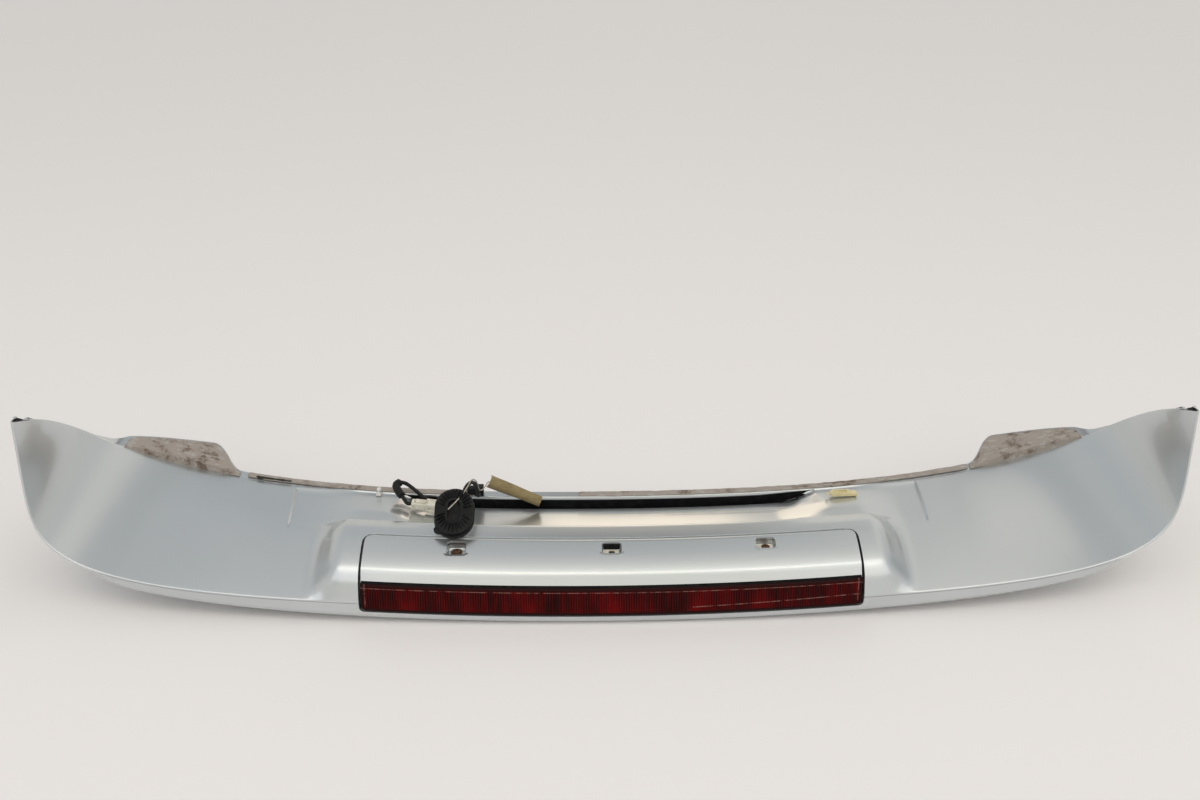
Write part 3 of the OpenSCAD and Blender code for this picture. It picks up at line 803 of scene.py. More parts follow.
@dataclass(frozen=True)
class Lens(Finish):
    """Dark red lamp plastic with flutes, darker rims, cells behind it, painted glints and painted highlight lines."""

    name: str = "red_lens"
    red: Colour = (0.15, 0.0012, 0.0018)
    deep: Colour = (0.014, 0.001, 0.001)
    rim: Colour = (0.020, 0.003, 0.003)
    # pale colour of the painted highlight lines and of the scratch
    line: Colour = (0.26, 0.13, 0.11)
    bar_scale: float = 230
    block_scale: float = 17
    tick_scale: float = 1260.0
    low_rim: tuple[float, float] = (0.12, 0.09)
    top_rim: tuple[float, float] = (0.975, 0.99)
    end_rim: tuple[float, float] = (0.4945, 0.497)
    # places of the painted highlight lines along the top and near the ends
    top_highlight: float = 0.93
    side_highlight: float = 0.4925
    scratch_from: tuple[float, float] = (0.70, 0.29)
    scratch_slope: float = 0.55
    scratch_start: float = 0.66
    roughness: float = 0.2
    coat: float = 0.02
    coat_roughness: float = 0.04
    specular: float = 0.06

    def build(self, shader: Shader) -> bpy.types.Material:
        """Vertical bars from the span; bands, painted glints and thin pale lines, which are painted highlights and a
        scratch, from the height share in the UV map.

        Args:
            shader: the material's tree.

        Returns:
            The material.
        """
        uv = shader.place("UV")
        u, v = shader.axis(uv, 0), shader.axis(uv, 1)
        bars = shader.noise(shader.place("UV", (self.bar_scale, 0.6, 1)), 1.0, 2, 0.7)
        blocks = shader.noise(shader.place("UV", (self.block_scale, 0.4, 1)), 1.0, 1)
        ticks = shader.maths("SINE", u * self.tick_scale)
        tone = shader.share(0.28, 0.80, bars * 0.40 + blocks * 0.50 + ticks * 0.10)
        colour = shader.blend(tone, self.deep, self.red)
        # Painted glints: lighter red in patches toward the bottom of the lens.
        painted_glints = shader.share(0.75, 0.2, v) * shader.share(0.45, 0.72, blocks)
        colour = shader.blend(painted_glints * 0.5, colour, self.red)
        # Darker rims along the bottom, the top and the ends.
        rim = shader.maths("MAXIMUM", shader.share(*self.low_rim, v), shader.share(*self.top_rim, v))
        ends = shader.maths("ABSOLUTE", u - 0.5)
        rim = shader.maths("MAXIMUM", rim, shader.share(*self.end_rim, ends))
        colour = shader.blend(rim, colour, self.rim)
        # Thin pale lines: painted highlights along the top and near the ends, and a scratch toward the right; noise
        # breaks them up.
        top = shader.share(0.022, 0.010, shader.maths("ABSOLUTE", v - self.top_highlight))
        side = shader.share(0.0014, 0.0006, shader.maths("ABSOLUTE", ends - self.side_highlight))
        side = side * shader.share(0.1, 0.3, v)
        scratch = v - (u - self.scratch_from[0]) * self.scratch_slope - self.scratch_from[1]
        scratch = shader.share(0.028, 0.012, shader.maths("ABSOLUTE", scratch)) * (u > self.scratch_start)
        highlight_and_scratch_breaks = shader.share(0.35, 0.6, shader.noise(shader.place("UV", (60, 3, 1)), 1.0, 4, 0.7))
        pale = shader.maths("MAXIMUM", shader.maths("MAXIMUM", top, side), scratch) * highlight_and_scratch_breaks
        colour = shader.blend(pale * 0.75, colour, self.line)
        dust = shader.share(0.55, 0.8, shader.noise(shader.place(), 90.0, 6, 0.7))
        normal = shader.bump(shader.noise(shader.place(), 120.0, 2), 0.12, 0.2)
        return shader.dress(Base_Color=colour, Roughness=self.roughness + dust * 0.30, Normal=normal,
                            Coat_Weight=self.coat, Coat_Roughness=self.coat_roughness,
                            Specular_IOR_Level=self.specular)


@dataclass(frozen=True)
class Mottled(Finish):
    """Plain plastic, rubber, foam, paper or metal with patches and a fine grain."""

    name: str
    colour: Colour
    patch: Colour
    roughness: float = 0.6
    metallic: float = 0.0
    scale: float = 60.0
    spread: tuple[float, float] = (0.4, 0.65)
    grain: float = 900.0
    depth: float = 0.1
    strength: float = 0.4
    stretch: Triple = (1.0, 1.0, 1.0)
    specular: float = 0.5

    def build(self, shader: Shader) -> bpy.types.Material:
        """Patches of a second colour, and a grain that changes gloss and normal.

        Args:
            shader: the material's tree.

        Returns:
            The material.
        """
        here = shader.place(stretch=self.stretch)
        patches = shader.share(*self.spread, shader.noise(here, self.scale, 6, 0.65))
        grain = shader.noise(here, self.grain, 3)
        return shader.dress(Base_Color=shader.blend(patches, self.colour, self.patch), Metallic=self.metallic,
                            Roughness=self.roughness + grain * 0.16 - 0.08, Specular_IOR_Level=self.specular,
                            Normal=shader.bump(grain * 0.5 + patches * 0.5, self.strength, self.depth))


@dataclass(frozen=True)
class Tape(Finish):
    """Old mounting tape: taupe foam skin with brown stains and grey bare spots."""

    name: str = "old_tape"
    foam: Colour = (0.35, 0.31, 0.28)
    stain: Colour = (0.13, 0.085, 0.055)
    bare: Colour = (0.42, 0.41, 0.39)
    roughness: float = 0.78
    stain_scale: float = 38.0
    bare_scale: float = 95.0
    grain_scale: float = 700.0

    def build(self, shader: Shader) -> bpy.types.Material:
        """Stains, bare spots and torn grain from noises of three sizes.

        Args:
            shader: the material's tree.

        Returns:
            The material.
        """
        here = shader.place()
        stain = shader.share(0.50, 0.64, shader.noise(here, self.stain_scale, 8, 0.72))
        bare = shader.share(0.54, 0.62, shader.noise(shader.place(stretch=(1, 1.6, 1)), self.bare_scale, 5, 0.65))
        grain = shader.noise(here, self.grain_scale, 4, 0.7)
        colour = shader.blend(stain * 0.9, self.foam, self.stain)
        colour = shader.blend(bare * 0.75, colour, self.bare)
        return shader.dress(Base_Color=colour, Roughness=self.roughness - bare * 0.2,
                            Normal=shader.bump(grain * 0.6 + stain * 0.4, 0.7, 0.5))


@dataclass(frozen=True)
class Sheet(Finish):
    """Pale paper under the object, which looks paler than the light that it throws back."""

    name: str = "paper_sheet"
    seen: Colour = (0.895, 0.875, 0.88)
    thrown_back: Colour = (0.70, 0.69, 0.66)

    def build(self, shader: Shader) -> bpy.types.Material:
        """Takes the pale tone for what the camera sees, itself or in metal and glass.

        Args:
            shader: the material's tree.

        Returns:
            The material.
        """
        path = shader.node("LightPath").outputs
        seen = Sock(shader, path["Is Camera Ray"])
        for ray in ("Is Glossy Ray", "Is Transmission Ray"):
            seen = shader.maths("MAXIMUM", seen, Sock(shader, path[ray]))
        grain = shader.noise(shader.place(), 400.0, 3)
        return shader.dress(Base_Color=shader.blend(seen, self.thrown_back, self.seen), Roughness=0.7 + grain * 0.1)


class Finishes(Enum):
    """Every finish of the spoiler, by the record's slot where it has one."""

    PAINT = Paint()
    LENS = Lens()
    TAPE = Tape()
    # Dark seal rubber, also the painted shade in the cable slot and the painted dark outline on the fin caps.
    SEAL_AND_SHADE = Mottled("seal_rubber_and_painted_shade", (0.004, 0.004, 0.005), (0.010, 0.010, 0.011), 0.6, scale=80, depth=0.2,
                   specular=0.08)
    RUBBER = Mottled("boot_rubber", (0.005, 0.005, 0.006), (0.013, 0.013, 0.014), 0.42, scale=70, depth=0.25,
                     specular=0.2)
    # Black plastic, also the painted shade block in the centre screw pocket.
    BLACK = Mottled("black_moulding_and_painted_shade", (0.008, 0.008, 0.009), (0.016, 0.016, 0.017), 0.5, depth=0.05,
                    specular=0.15)
    CABLE = Mottled("cable_sheath", (0.006, 0.006, 0.007), (0.014, 0.014, 0.014), 0.48, scale=120, depth=0.15,
                    specular=0.25)
    BRIGHT = Mottled("bright_reflector", (0.75, 0.75, 0.77), (0.6, 0.6, 0.62), 0.22, 0.9, depth=0.02)
    BOARD = Mottled("board_resist", (0.03, 0.14, 0.06), (0.02, 0.09, 0.04), 0.45, scale=200)
    DIODE = Mottled("diode_resin", (0.75, 0.70, 0.48), (0.6, 0.55, 0.4), 0.25, scale=300)
    NYLON = Mottled("natural_nylon", (0.66, 0.64, 0.56), (0.55, 0.53, 0.46), 0.5)
    RUST = Mottled("rusted_screw", (0.20, 0.10, 0.05), (0.07, 0.035, 0.02), 0.62, 0.55, 420, (0.35, 0.6), 1800,
                   0.15, 0.8)
    FOAM = Mottled("black_foam_skin", (0.02, 0.018, 0.015), (0.05, 0.045, 0.035), 0.85, depth=0.3, strength=0.7)
    WHITE = Mottled("white_moulding", (0.80, 0.80, 0.79), (0.68, 0.68, 0.66), 0.42, depth=0.05)
    CREAM = Mottled("cream_moulding", (0.74, 0.67, 0.43), (0.66, 0.55, 0.27), 0.38, scale=90, depth=0.05)
    IVORY = Mottled("connector_moulding", (0.76, 0.73, 0.64), (0.60, 0.56, 0.46), 0.45, scale=110, depth=0.08)
    STRING = Mottled("twisted_string", (0.50, 0.47, 0.40), (0.34, 0.31, 0.25), 0.8, scale=500, depth=0.2)
    KRAFT = Mottled("kraft_card", (0.27, 0.21, 0.10), (0.20, 0.15, 0.065), 0.72, scale=130, grain=1200, depth=0.12,
                    strength=0.6, stretch=(0.5, 1.5, 1.5))
    CARD = Mottled("white_card", (0.72, 0.71, 0.68), (0.60, 0.58, 0.54), 0.7, scale=90)
    FLOOR = Sheet()


def dressed(obj: Thing, finish: Finishes) -> Thing:
    """Gives a whole piece one finish.

    Args:
        obj: the piece.
        finish: its look.

    Returns:
        The same piece.
    """
    obj.data.materials.clear()
    obj.data.materials.append(finish.value.material())
    return obj


def painted(obj: Thing) -> Thing:
    """Paints a shell outside and leaves bare black plastic inside.

    Args:
        obj: the shell.

    Returns:
        The same shell.
    """
    for finish in (Finishes.PAINT, Finishes.BLACK):
        obj.data.materials.append(finish.value.material())
    return obj


def add_piece(obj: Thing, slot: str, finish: Finishes, *nodes: str) -> Thing:
    """Dresses a piece, lets it ride on the body and names the nodes it stands for.

    Args:
        obj: the piece.
        slot: the record's material slot; not used.
        finish: its look.
        nodes: names of the CAD nodes that it replaces.

    Returns:
        The same piece.
    """
    if not any(obj.data.materials):
        dressed(obj, finish)
    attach(obj, BODY)
    if nodes:
        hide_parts(*nodes)
    LOG.info("%s: %d faces, stands for %s", obj.name, len(obj.data.polygons), ", ".join(nodes) or "nothing else")
    return obj


# The painted shells


@dataclass(frozen=True)
class Skin:
    """Visible shell and belly shell, with the boss, recess, trough and slot pressed into them."""

    boss_half: float = 290
    boss_fade: float = 40
    recess_half: float = 354
    recess_ramp: float = 2.5
    recess_depth: float = 3.2
    trough_half: float = 192
    trough_ramp: float = 72
    slot_half: float = 210
    slot_taper: float = 40
    cut_over: float = 24
    # reach, start and wall of the slot's dark sheet of painted shade
    shade_sheet_over: float = 36
    shade_sheet_in: float = 30
    shade_sheet_wall: float = 0.3
    lean: float = 16
    lean_in: float = 4
    lean_out: float = 26
    crown: float = 10
    crown_in: float = 80
    crown_out: float = 60
    lip: float = 1.6
    wall: float = 3
    fascia: float = 25
    fin_edge: float = 4.5
    fin_back: float = 10
    step: float = 4.5
    opening_radius: float = 14.5
    cap_wall: float = 0.6
    cap_below: float = 0.8

    WING = np.array([0, .04, .08, .14, .2, .28, .36, .46, .545, .605, .68, .82, .92, .95, .97, .985, 1])
    DIP = np.array([0, 0, 0, 0, 0, 0, 0, 0, 0, .55, .75, 1.05, 1.15, .9, .5, 0, 0])
    BOSS = np.array([[3.5, 33], [8, 45], [16.5, 53.5], [28, 60], [42, 65.5], [58, 69.5], [77, 69], [98, 63],
                     [103, 57], [125, 56.5]])
    TROUGH = np.array([[88, 68.5], [98, 59], [104, 52.4]])
    RECESS_END = np.array([[-32, 2], [-12, -0.8], [-7, -1.6], [-4, -1.8], [-1.2, -1.6]])
    SLOT_END = np.array([[-29, -7.5], [-10, -10], [-7, -16], [1, -16], [0, -7.5]])
    BOSS_REACH = {1: 1.6, 4: 5, 7: 8, 8: 5, 9: 3, 10: 1.5, 11: 5, 12: 2, 13: 1.2, 14: 1.5, 15: 1.5, 16: 1.5, 17: 1.5,
                  18: 1}
    WING_REACH = {1: 1.6, 9: 5, 10: 5, 14: 3, 15: 3, 16: 3, 17: 1.5, 18: 1}

    def cuts(self) -> Array:
        """Stations of both shells, closer at the bay's ends, the slot's ends and the recess's ends."""
        return stations(self.step, [(BAY.half, BAY.half + 2, 2), (self.slot_half, self.slot_half + self.slot_taper, 14),
                                    (self.recess_half - 0.5, self.recess_half + 3, 10)])

    def reach_of(self, table: dict[int, float], corners: int) -> Array:
        """Reach of the rounding at every corner, broad where the table has none."""
        return np.array([table.get(i, BROAD) for i in range(corners)], float)

    def corners(self, x: Array) -> tuple[Array, Array]:
        """Corner points of the visible shell's sections, and the reach of their rounding.

        Args:
            x: stations.

        Returns:
            Points as station, corner and XYZ, and reaches as station and corner.
        """
        g = GUIDES
        a = np.abs(x)
        s = x / g.crest_half
        t, f = g.crest(s), g.front(s)
        boss = 1 - ease(self.boss_half, self.boss_half + self.boss_fade, a)
        recess = 1 - ease(self.recess_half, self.recess_half + self.recess_ramp, a)
        deep = 1 - ease(self.trough_half, self.trough_half + self.trough_ramp, a)
        slot = 1 - ease(self.slot_half, self.slot_half + self.slot_taper, a)
        crown = self.crown * (1 - ease(g.pad_in - self.crown_in, g.pad_in + self.crown_out, a))
        lean = self.lean * (ease(self.boss_half, self.recess_half - self.lean_in, a)
                            - ease(self.recess_half + self.lean_out, g.pad_in, a)) * np.sign(x)
        v = self.WING[None, :]
        p = mix(t[:, None], f[:, None], v[..., None])
        p[..., 0] += lean[:, None] * v
        p[..., 2] += 4 * crown[:, None] * v * (1 - v) - self.recess_depth * self.DIP * recess[:, None]
        bow = g.bow(x)[:, 1:]
        raised = p.copy()
        raised[:, 0] = t
        raised[:, 1:11, 1:] = bow[:, None] + self.BOSS
        raised[:, 11:16, 1:] = f[:, None, 1:] + self.RECESS_END
        raised[:, 16] = f
        p = mix(p, raised, boss[:, None, None])
        p[:, 8:11, 1:] = mix(p[:, 8:11, 1:], bow[:, None] + self.TROUGH, deep[:, None, None])
        p[:, 11, 1:] = mix(p[:, 11, 1:], f[:, 1:] + self.SLOT_END[0], deep[:, None])
        p[:, 12:16, 1:] = mix(p[:, 12:16, 1:], f[:, None, 1:] + self.SLOT_END[1:], slot[:, None, None])
        rim = g.rim(s)
        af = np.abs(f[:, 0])
        foot = mix(0.4 * np.minimum(g.land_w, g.land_width(af)), 1.0, g.pad_share(af))
        foot = stack(f[:, 0], f[:, 1] + foot, rim[:, 2])
        lip = t + g.crest_out(s) * self.lip
        p = np.concatenate([lip[:, None], p, foot[:, None], mix(foot, rim, 0.5)[:, None], rim[:, None]], axis=1)
        wing_reach, boss_reach = (self.reach_of(table, p.shape[1]) for table in (self.WING_REACH, self.BOSS_REACH))
        return p, 1 / mix(1 / wing_reach, 1 / boss_reach, boss[:, None])

    def belly_corners(self, x: Array) -> tuple[Array, Array]:
        """Corner points of the belly shell's sections, from the crest over the fascia to the land.

        Args:
            x: stations.

        Returns:
            Points as station, corner and XYZ, and reaches as station and corner.
        """
        g = GUIDES
        s = x / g.crest_half
        n, nf = g.crest_out(s), g.front_out(s)
        k, kf = fall(s, g.crest_square)[:, None], fall(s, g.front_square)[:, None]
        y = np.array([0.0, 1.0, 0.0])
        top = g.crest(s) + n * (self.lip + 0.4)
        drop = self.fin_edge + (self.fascia - self.fin_edge) * (1 - 0.7 * s[:, None] ** 2) * k**1.5
        foot = g.crest(s) + n * drop + y * self.fin_back * ease(0.05, 0.15, 1 - k)
        low = (g.front(s) + y * (g.land_w - 10) * kf
               + nf * (self.fin_edge + (g.front_z - self.fin_edge) * kf))
        rim = g.rim(s) + nf * (self.wall + 0.6)
        r = np.maximum(1.4, np.minimum(8.0, 0.35 * np.linalg.norm(foot - top, axis=-1))[:, None] * k)
        start = foot + y * r
        rows = [top, mix(top, foot - n * r, 0.7), foot - n * r, foot + y * r * 0.3 - n * r * 0.3, start,
                mix(start, low, 0.33), mix(start, low, 0.7), low, mix(low, rim, 0.28) + nf * 3 * k,
                mix(low, rim, 0.65) + nf * 2 * k, rim]
        reach = np.full((len(x), len(rows)), BROAD)
        reach[:, 7] = 9
        return np.stack(rows, axis=1), reach

    def build(self) -> list[Thing]:
        """Makes both shells and cuts the lamp's opening in them.

        Returns:
            Visible shell and belly shell.
        """
        x = self.cuts()
        corners, reach = self.corners(x)
        grid = rounded(corners, reach, 5)
        inner = painted(shell("visible_shell", grid, self.walls(grid.shape[1], 4), back=True))
        carve(inner, self.slot_cut())
        # The slot's dark sheet is painted shade in the opening.
        inner = joined("visible_shell", [inner, dressed(self.slot_liner(), Finishes.SEAL_AND_SHADE)])
        carve(inner, BAY.prism("bay_cut", BAY.half, BAY.front, self.opening_radius, -30, (-60, 300)))
        outer_corners, outer_reach = self.belly_corners(x)
        belly = rounded(outer_corners, outer_reach, 5)[:, ::-1]
        outer = painted(shell("belly_shell", belly, self.walls(belly.shape[1], 3)[::-1], back=True))
        # The fin caps are dressed dark as a painted dark reflection along each tip.
        caps = [dressed(self.cap(grid[end], belly[end, ::-1], end == 0), Finishes.SEAL_AND_SHADE) for end in (0, -1)]
        outer = joined("belly_shell", [outer, *caps])
        carve(outer, BAY.prism("fascia_cut", BAY.half, BAY.floor, BAY.low_radius, 90, (-60, 60), True))
        for obj in (inner, outer):
            crisp(obj, 40)
        return [add_piece(inner, "paint", Finishes.PAINT, "inner_skin"),
                add_piece(outer, "paint", Finishes.PAINT, "outer_skin")]

    def cap(self, line: Array, other: Array, flip: bool) -> Thing:
        """Thin cap that closes a fin's tip between the ends of both shells.

        Args:
            line: end of one shell's grid.
            other: end of the other's.
            flip: put the wall on the other side.

        Returns:
            The cap.
        """
        rows = []
        for points in (line, other):
            run = run_of(points)
            even = np.linspace(0, run[-1], 60)
            rows.append(stack(*(np.interp(even, run, points[:, axis]) for axis in range(3))))
        grid = np.stack([mix(*rows, k) - [0, 0, self.cap_below] for k in (0, 0.33, 0.67, 1)], axis=1)
        return shell("fin_cap", grid, self.cap_wall, flip)

    def slot_cut(self) -> Thing:
        """Cutter that opens the floor of the cable slot into the hollow behind it.

        Returns:
            The cutter.
        """
        x = np.linspace(-self.slot_half - self.cut_over, self.slot_half + self.cut_over, 121)
        f = GUIDES.front(x / GUIDES.front_half)[:, None]
        deep = (1 - ease(self.slot_half, self.slot_half + self.slot_taper, np.abs(x)))[:, None]
        corners = np.array([[-8.6, -24], [-0.6, -24], [-0.9, -10.5], [-8.6, -12.5]])
        rings = stack(f[..., 0], f[..., 1] + corners[:, 0], f[..., 2] + corners[:, 1])
        rings[..., 2] += (1 - deep) * 4
        return loft("slot_cut", rings)

    def slot_liner(self) -> Thing:
        """Black sheet over the cable slot's far wall and floor, painted shade for the dark opening into the hollow.

        Returns:
            The lining.
        """
        x = np.linspace(-self.slot_half - self.shade_sheet_over, self.slot_half + self.shade_sheet_over, 181)
        f = GUIDES.front(x / GUIDES.front_half)[:, None]
        deep = (1 - ramp(self.slot_half - self.shade_sheet_in, self.slot_half + self.shade_sheet_over, np.abs(x)))[:, None] ** 0.8
        section = mix(np.array([[-0.9, -0.4], [-1.0, -0.6], [-1.1, -0.8], [-1.3, -1.0]]),
                      np.array([[-1.0, -4.2], [-1.6, -9.0], [-3.0, -17.0], [-8.4, -17.5]]), deep[..., None])
        grid = stack(f[..., 0], f[..., 1] + section[..., 0], f[..., 2] + section[..., 1])
        return shell("slot_liner", grid, self.shade_sheet_wall, True)

    def walls(self, columns: int, thin: int) -> Array:
        """Wall thickness for each column, thin along the crest's seam."""
        return np.minimum(self.wall, 0.6 + np.arange(columns) * self.wall / (2 * thin))


@dataclass(frozen=True)
class Bay:
    """The lamp's bay in the boss, which bows with it."""

    half: float = 269
    front: float = 62.2
    floor: float = 11
    low_radius: float = 5
    sheet_half: float = 271
    across: int = 61

    def prism(self, name: str, half: float, edge: float, radius: float, far: float, ends: tuple[float, float],
              level: bool = False) -> Thing:
        """Prism with two rounded corners on the edge that bows with the bay.

        Args:
            name: the object's name.
            half: half of its width.
            edge: where the bowed edge runs in the middle, in Y, or in Z where the prism lies level.
            radius: radius of the corners.
            far: where the outline ends opposite the bowed edge.
            ends: heights of its bottom and top, or Y of its ends where it lies level.
            level: the outline is seen from behind instead of from above.

        Returns:
            The prism.
        """
        axis, sign = (2, -1) if level else (1, 1)
        arc = np.linspace(0, math.pi / 2, 7 if level else 9)
        side = np.zeros((len(arc), 3))
        side[:, 0] = half - radius + radius * np.sin(arc)
        side[:, axis] = edge + sign * (radius * np.cos(arc) - radius)
        straight = np.linspace(side[0] * [-1, 1, 1], side[0], self.across)
        line = np.concatenate([side[:0:-1] * [-1, 1, 1], straight, side[1:]])
        line[:, axis] += GUIDES.bow(line[:, 0])[:, axis]
        along, back = np.eye(3)[3 - axis], np.eye(3)[axis] * far
        outline = np.concatenate([line, [back + [half, 0, 0], back - [half, 0, 0]]])
        return solid_of(name, outline, along * ends[0], along * ends[1])

    def sheet(self, name: str, section: Pairs, reach: Sequence[float], wall: float, half: float,
              flip: bool = False) -> Thing:
        """Bowed sheet with a wall, from a section in Y and Z with rounded corners.

        Args:
            name: the object's name.
            section: Y and Z of its corners.
            reach: reach of the rounding at each inner corner.
            wall: its thickness.
            half: half of its width.
            flip: put the wall on the other side.

        Returns:
            The sheet.
        """
        x = np.linspace(-half, half, 2 * self.across - 1)
        section = np.array(section, float)
        corners = stack(x[:, None], section[None, :, 0], section[None, :, 1])
        corners = corners + GUIDES.bow(x)[:, None]
        grid = rounded(corners, np.tile([0, *reach, 0], (len(x), 1)), 5)
        return shell(name, grid, wall, flip)


BAY = Bay()

# Places that the cover's pockets and their screws share

SCREW_PITCH = 167
SCREW_Y = 47.5
SHELF = 60.0


@dataclass(frozen=True)
class Cover:
    """Painted cover over the lamp, with three screw pockets, and the tray that lies under it."""

    half: float = 266.5
    front: float = 61.9
    front_radius: float = 12
    wall: float = 2.5
    pocket_half: float = 11.0
    pocket_near: Triple = (35.5, 38.5, 39.5)
    pocket_far: float = 54.5
    pocket_radius: float = 4.0
    tub_wall: float = 1.6
    tub_top: Triple = (64.0, 65.2, 65.2)
    tub_floor: float = 2
    bore: Triple = (2.5, 4.2, 2.5)
    tab_bore: float = 3.6

    def pocket(self, name: str, x: float, grow: float, low: float, high: float) -> Thing:
        """Solid rounded tub whose walls open slightly towards the top.

        Args:
            name: the object's name.
            x: its place along the span.
            grow: how far it goes beyond the pocket.
            low: height of its floor.
            high: height of its top.

        Returns:
            The tub.
        """
        w, y2 = self.pocket_half + grow, self.pocket_far + grow
        y1 = self.pocket_near[round(x / SCREW_PITCH) + 1] - grow
        r = self.pocket_radius + grow
        arc = np.linspace(0, math.pi / 2, 6)
        plan = [(sx * (w - r + r * abs(math.cos(a))), cy + sy * r * math.sin(a))
                for sx, sy, cy, order in ((1, 1, y2 - r, 1), (-1, 1, y2 - r, -1), (-1, -1, y1 + r, 1),
                                          (1, -1, y1 + r, -1)) for a in arc[::order]]
        ring = np.array([(*p, 0) for p in plan])
        mid = np.array([0, (y1 + y2) / 2, 0])
        rings = [(ring - mid) * [k, k, 1] + mid + [x, 0, z] for k, z in
                 ((0.90, low), (0.94, low + 1.2), (0.97, mix(low, high, 0.5)), (1.06, high))]
        return loft(name, np.array(rings) + GUIDES.bow(x))

    def build(self) -> list[Thing]:
        """Makes the cover with its pockets, the tray and its end walls.

        Returns:
            Cover and tray.
        """
        cover = BAY.sheet("lamp_cover_panel", [(9.6, 41.4), (16.5, 53.5), (28, 60), (42, 65.5), (57, 69.2),
                                               (61.9, 67.8), (61.9, 57)], [3.5, BROAD, BROAD, 3, 1], self.wall,
                          BAY.sheet_half)
        carve(cover, BAY.prism("cover_edge", self.half, self.front, self.front_radius, -20, (0, 200)), Cut.KEEP)
        tubs = []
        for k in (-1, 0, 1):
            x = k * SCREW_PITCH
            spot = GUIDES.bow(x) + [x, 0, 0]
            carve(cover, self.pocket("pocket_cut", x, 0, SHELF, 76))
            tub = self.pocket("pocket_tub", x, self.tub_wall, SHELF - self.tub_floor, self.tub_top[k + 1])
            carve(tub, self.pocket("tub_cut", x, 0, SHELF, 70))
            carve(tub, post("hole_cut", spot + [0, SCREW_Y, 0], 40, 80, self.bore[k + 1]))
            tubs.append(dressed(tub, Finishes.PAINT))
            # The centre pocket gets a thin black block at its far wall, painted shade for the dark opening behind the
            # lip.
            if k == 0:
                shade_block = block("pocket_gap", (-10, 53.2, 60.1), (10, 53.9, 66.6), at=spot)
                tubs.append(dressed(shade_block, Finishes.BLACK))
            if k >= 0:
                tab = block("pocket_tab", (-9.5, 40.5, 59.9), (8, 51 + 2 * k, 61.2), at=spot)
                carve(tab, post("hole_cut", spot + [0, SCREW_Y - 1, 0], 50, 70, self.tab_bore))
                tubs.append(dressed(tab, Finishes.IVORY))
        cover = crisp(joined("lamp_cover_panel", [dressed(cover, Finishes.PAINT), *tubs]), 40)
        tray = BAY.sheet("bay_tray", [(1, 11), (20, 10.5), (38, 10.5), (41, 28), (44, 46), (60, 47), (62.4, 66.5)],
                         [2, 2, 4, 2, 2], 2, BAY.half)
        ends = []
        for side in (-1, 1):
            outline = np.array([(0, y, z) for y, z in ((1.5, 12), (20, 11), (38, 11), (44, 47), (61, 48), (61.8, 66),
                                                       (42, 65), (28, 59), (17, 52), (8, 44))])
            outline = outline + GUIDES.bow(BAY.half) + [side * BAY.half, 0, 0]
            ends.append(solid_of("bay_end", outline, np.array([0, 0, 0]), np.array([side * 1.5, 0, 0])))
        tray = crisp(joined("bay_tray", [tray, *ends]))
        return [add_piece(cover, "paint", Finishes.PAINT, "lamp_cover"), add_piece(tray, "paint", Finishes.PAINT)]


# Repeats made with Geometry Nodes


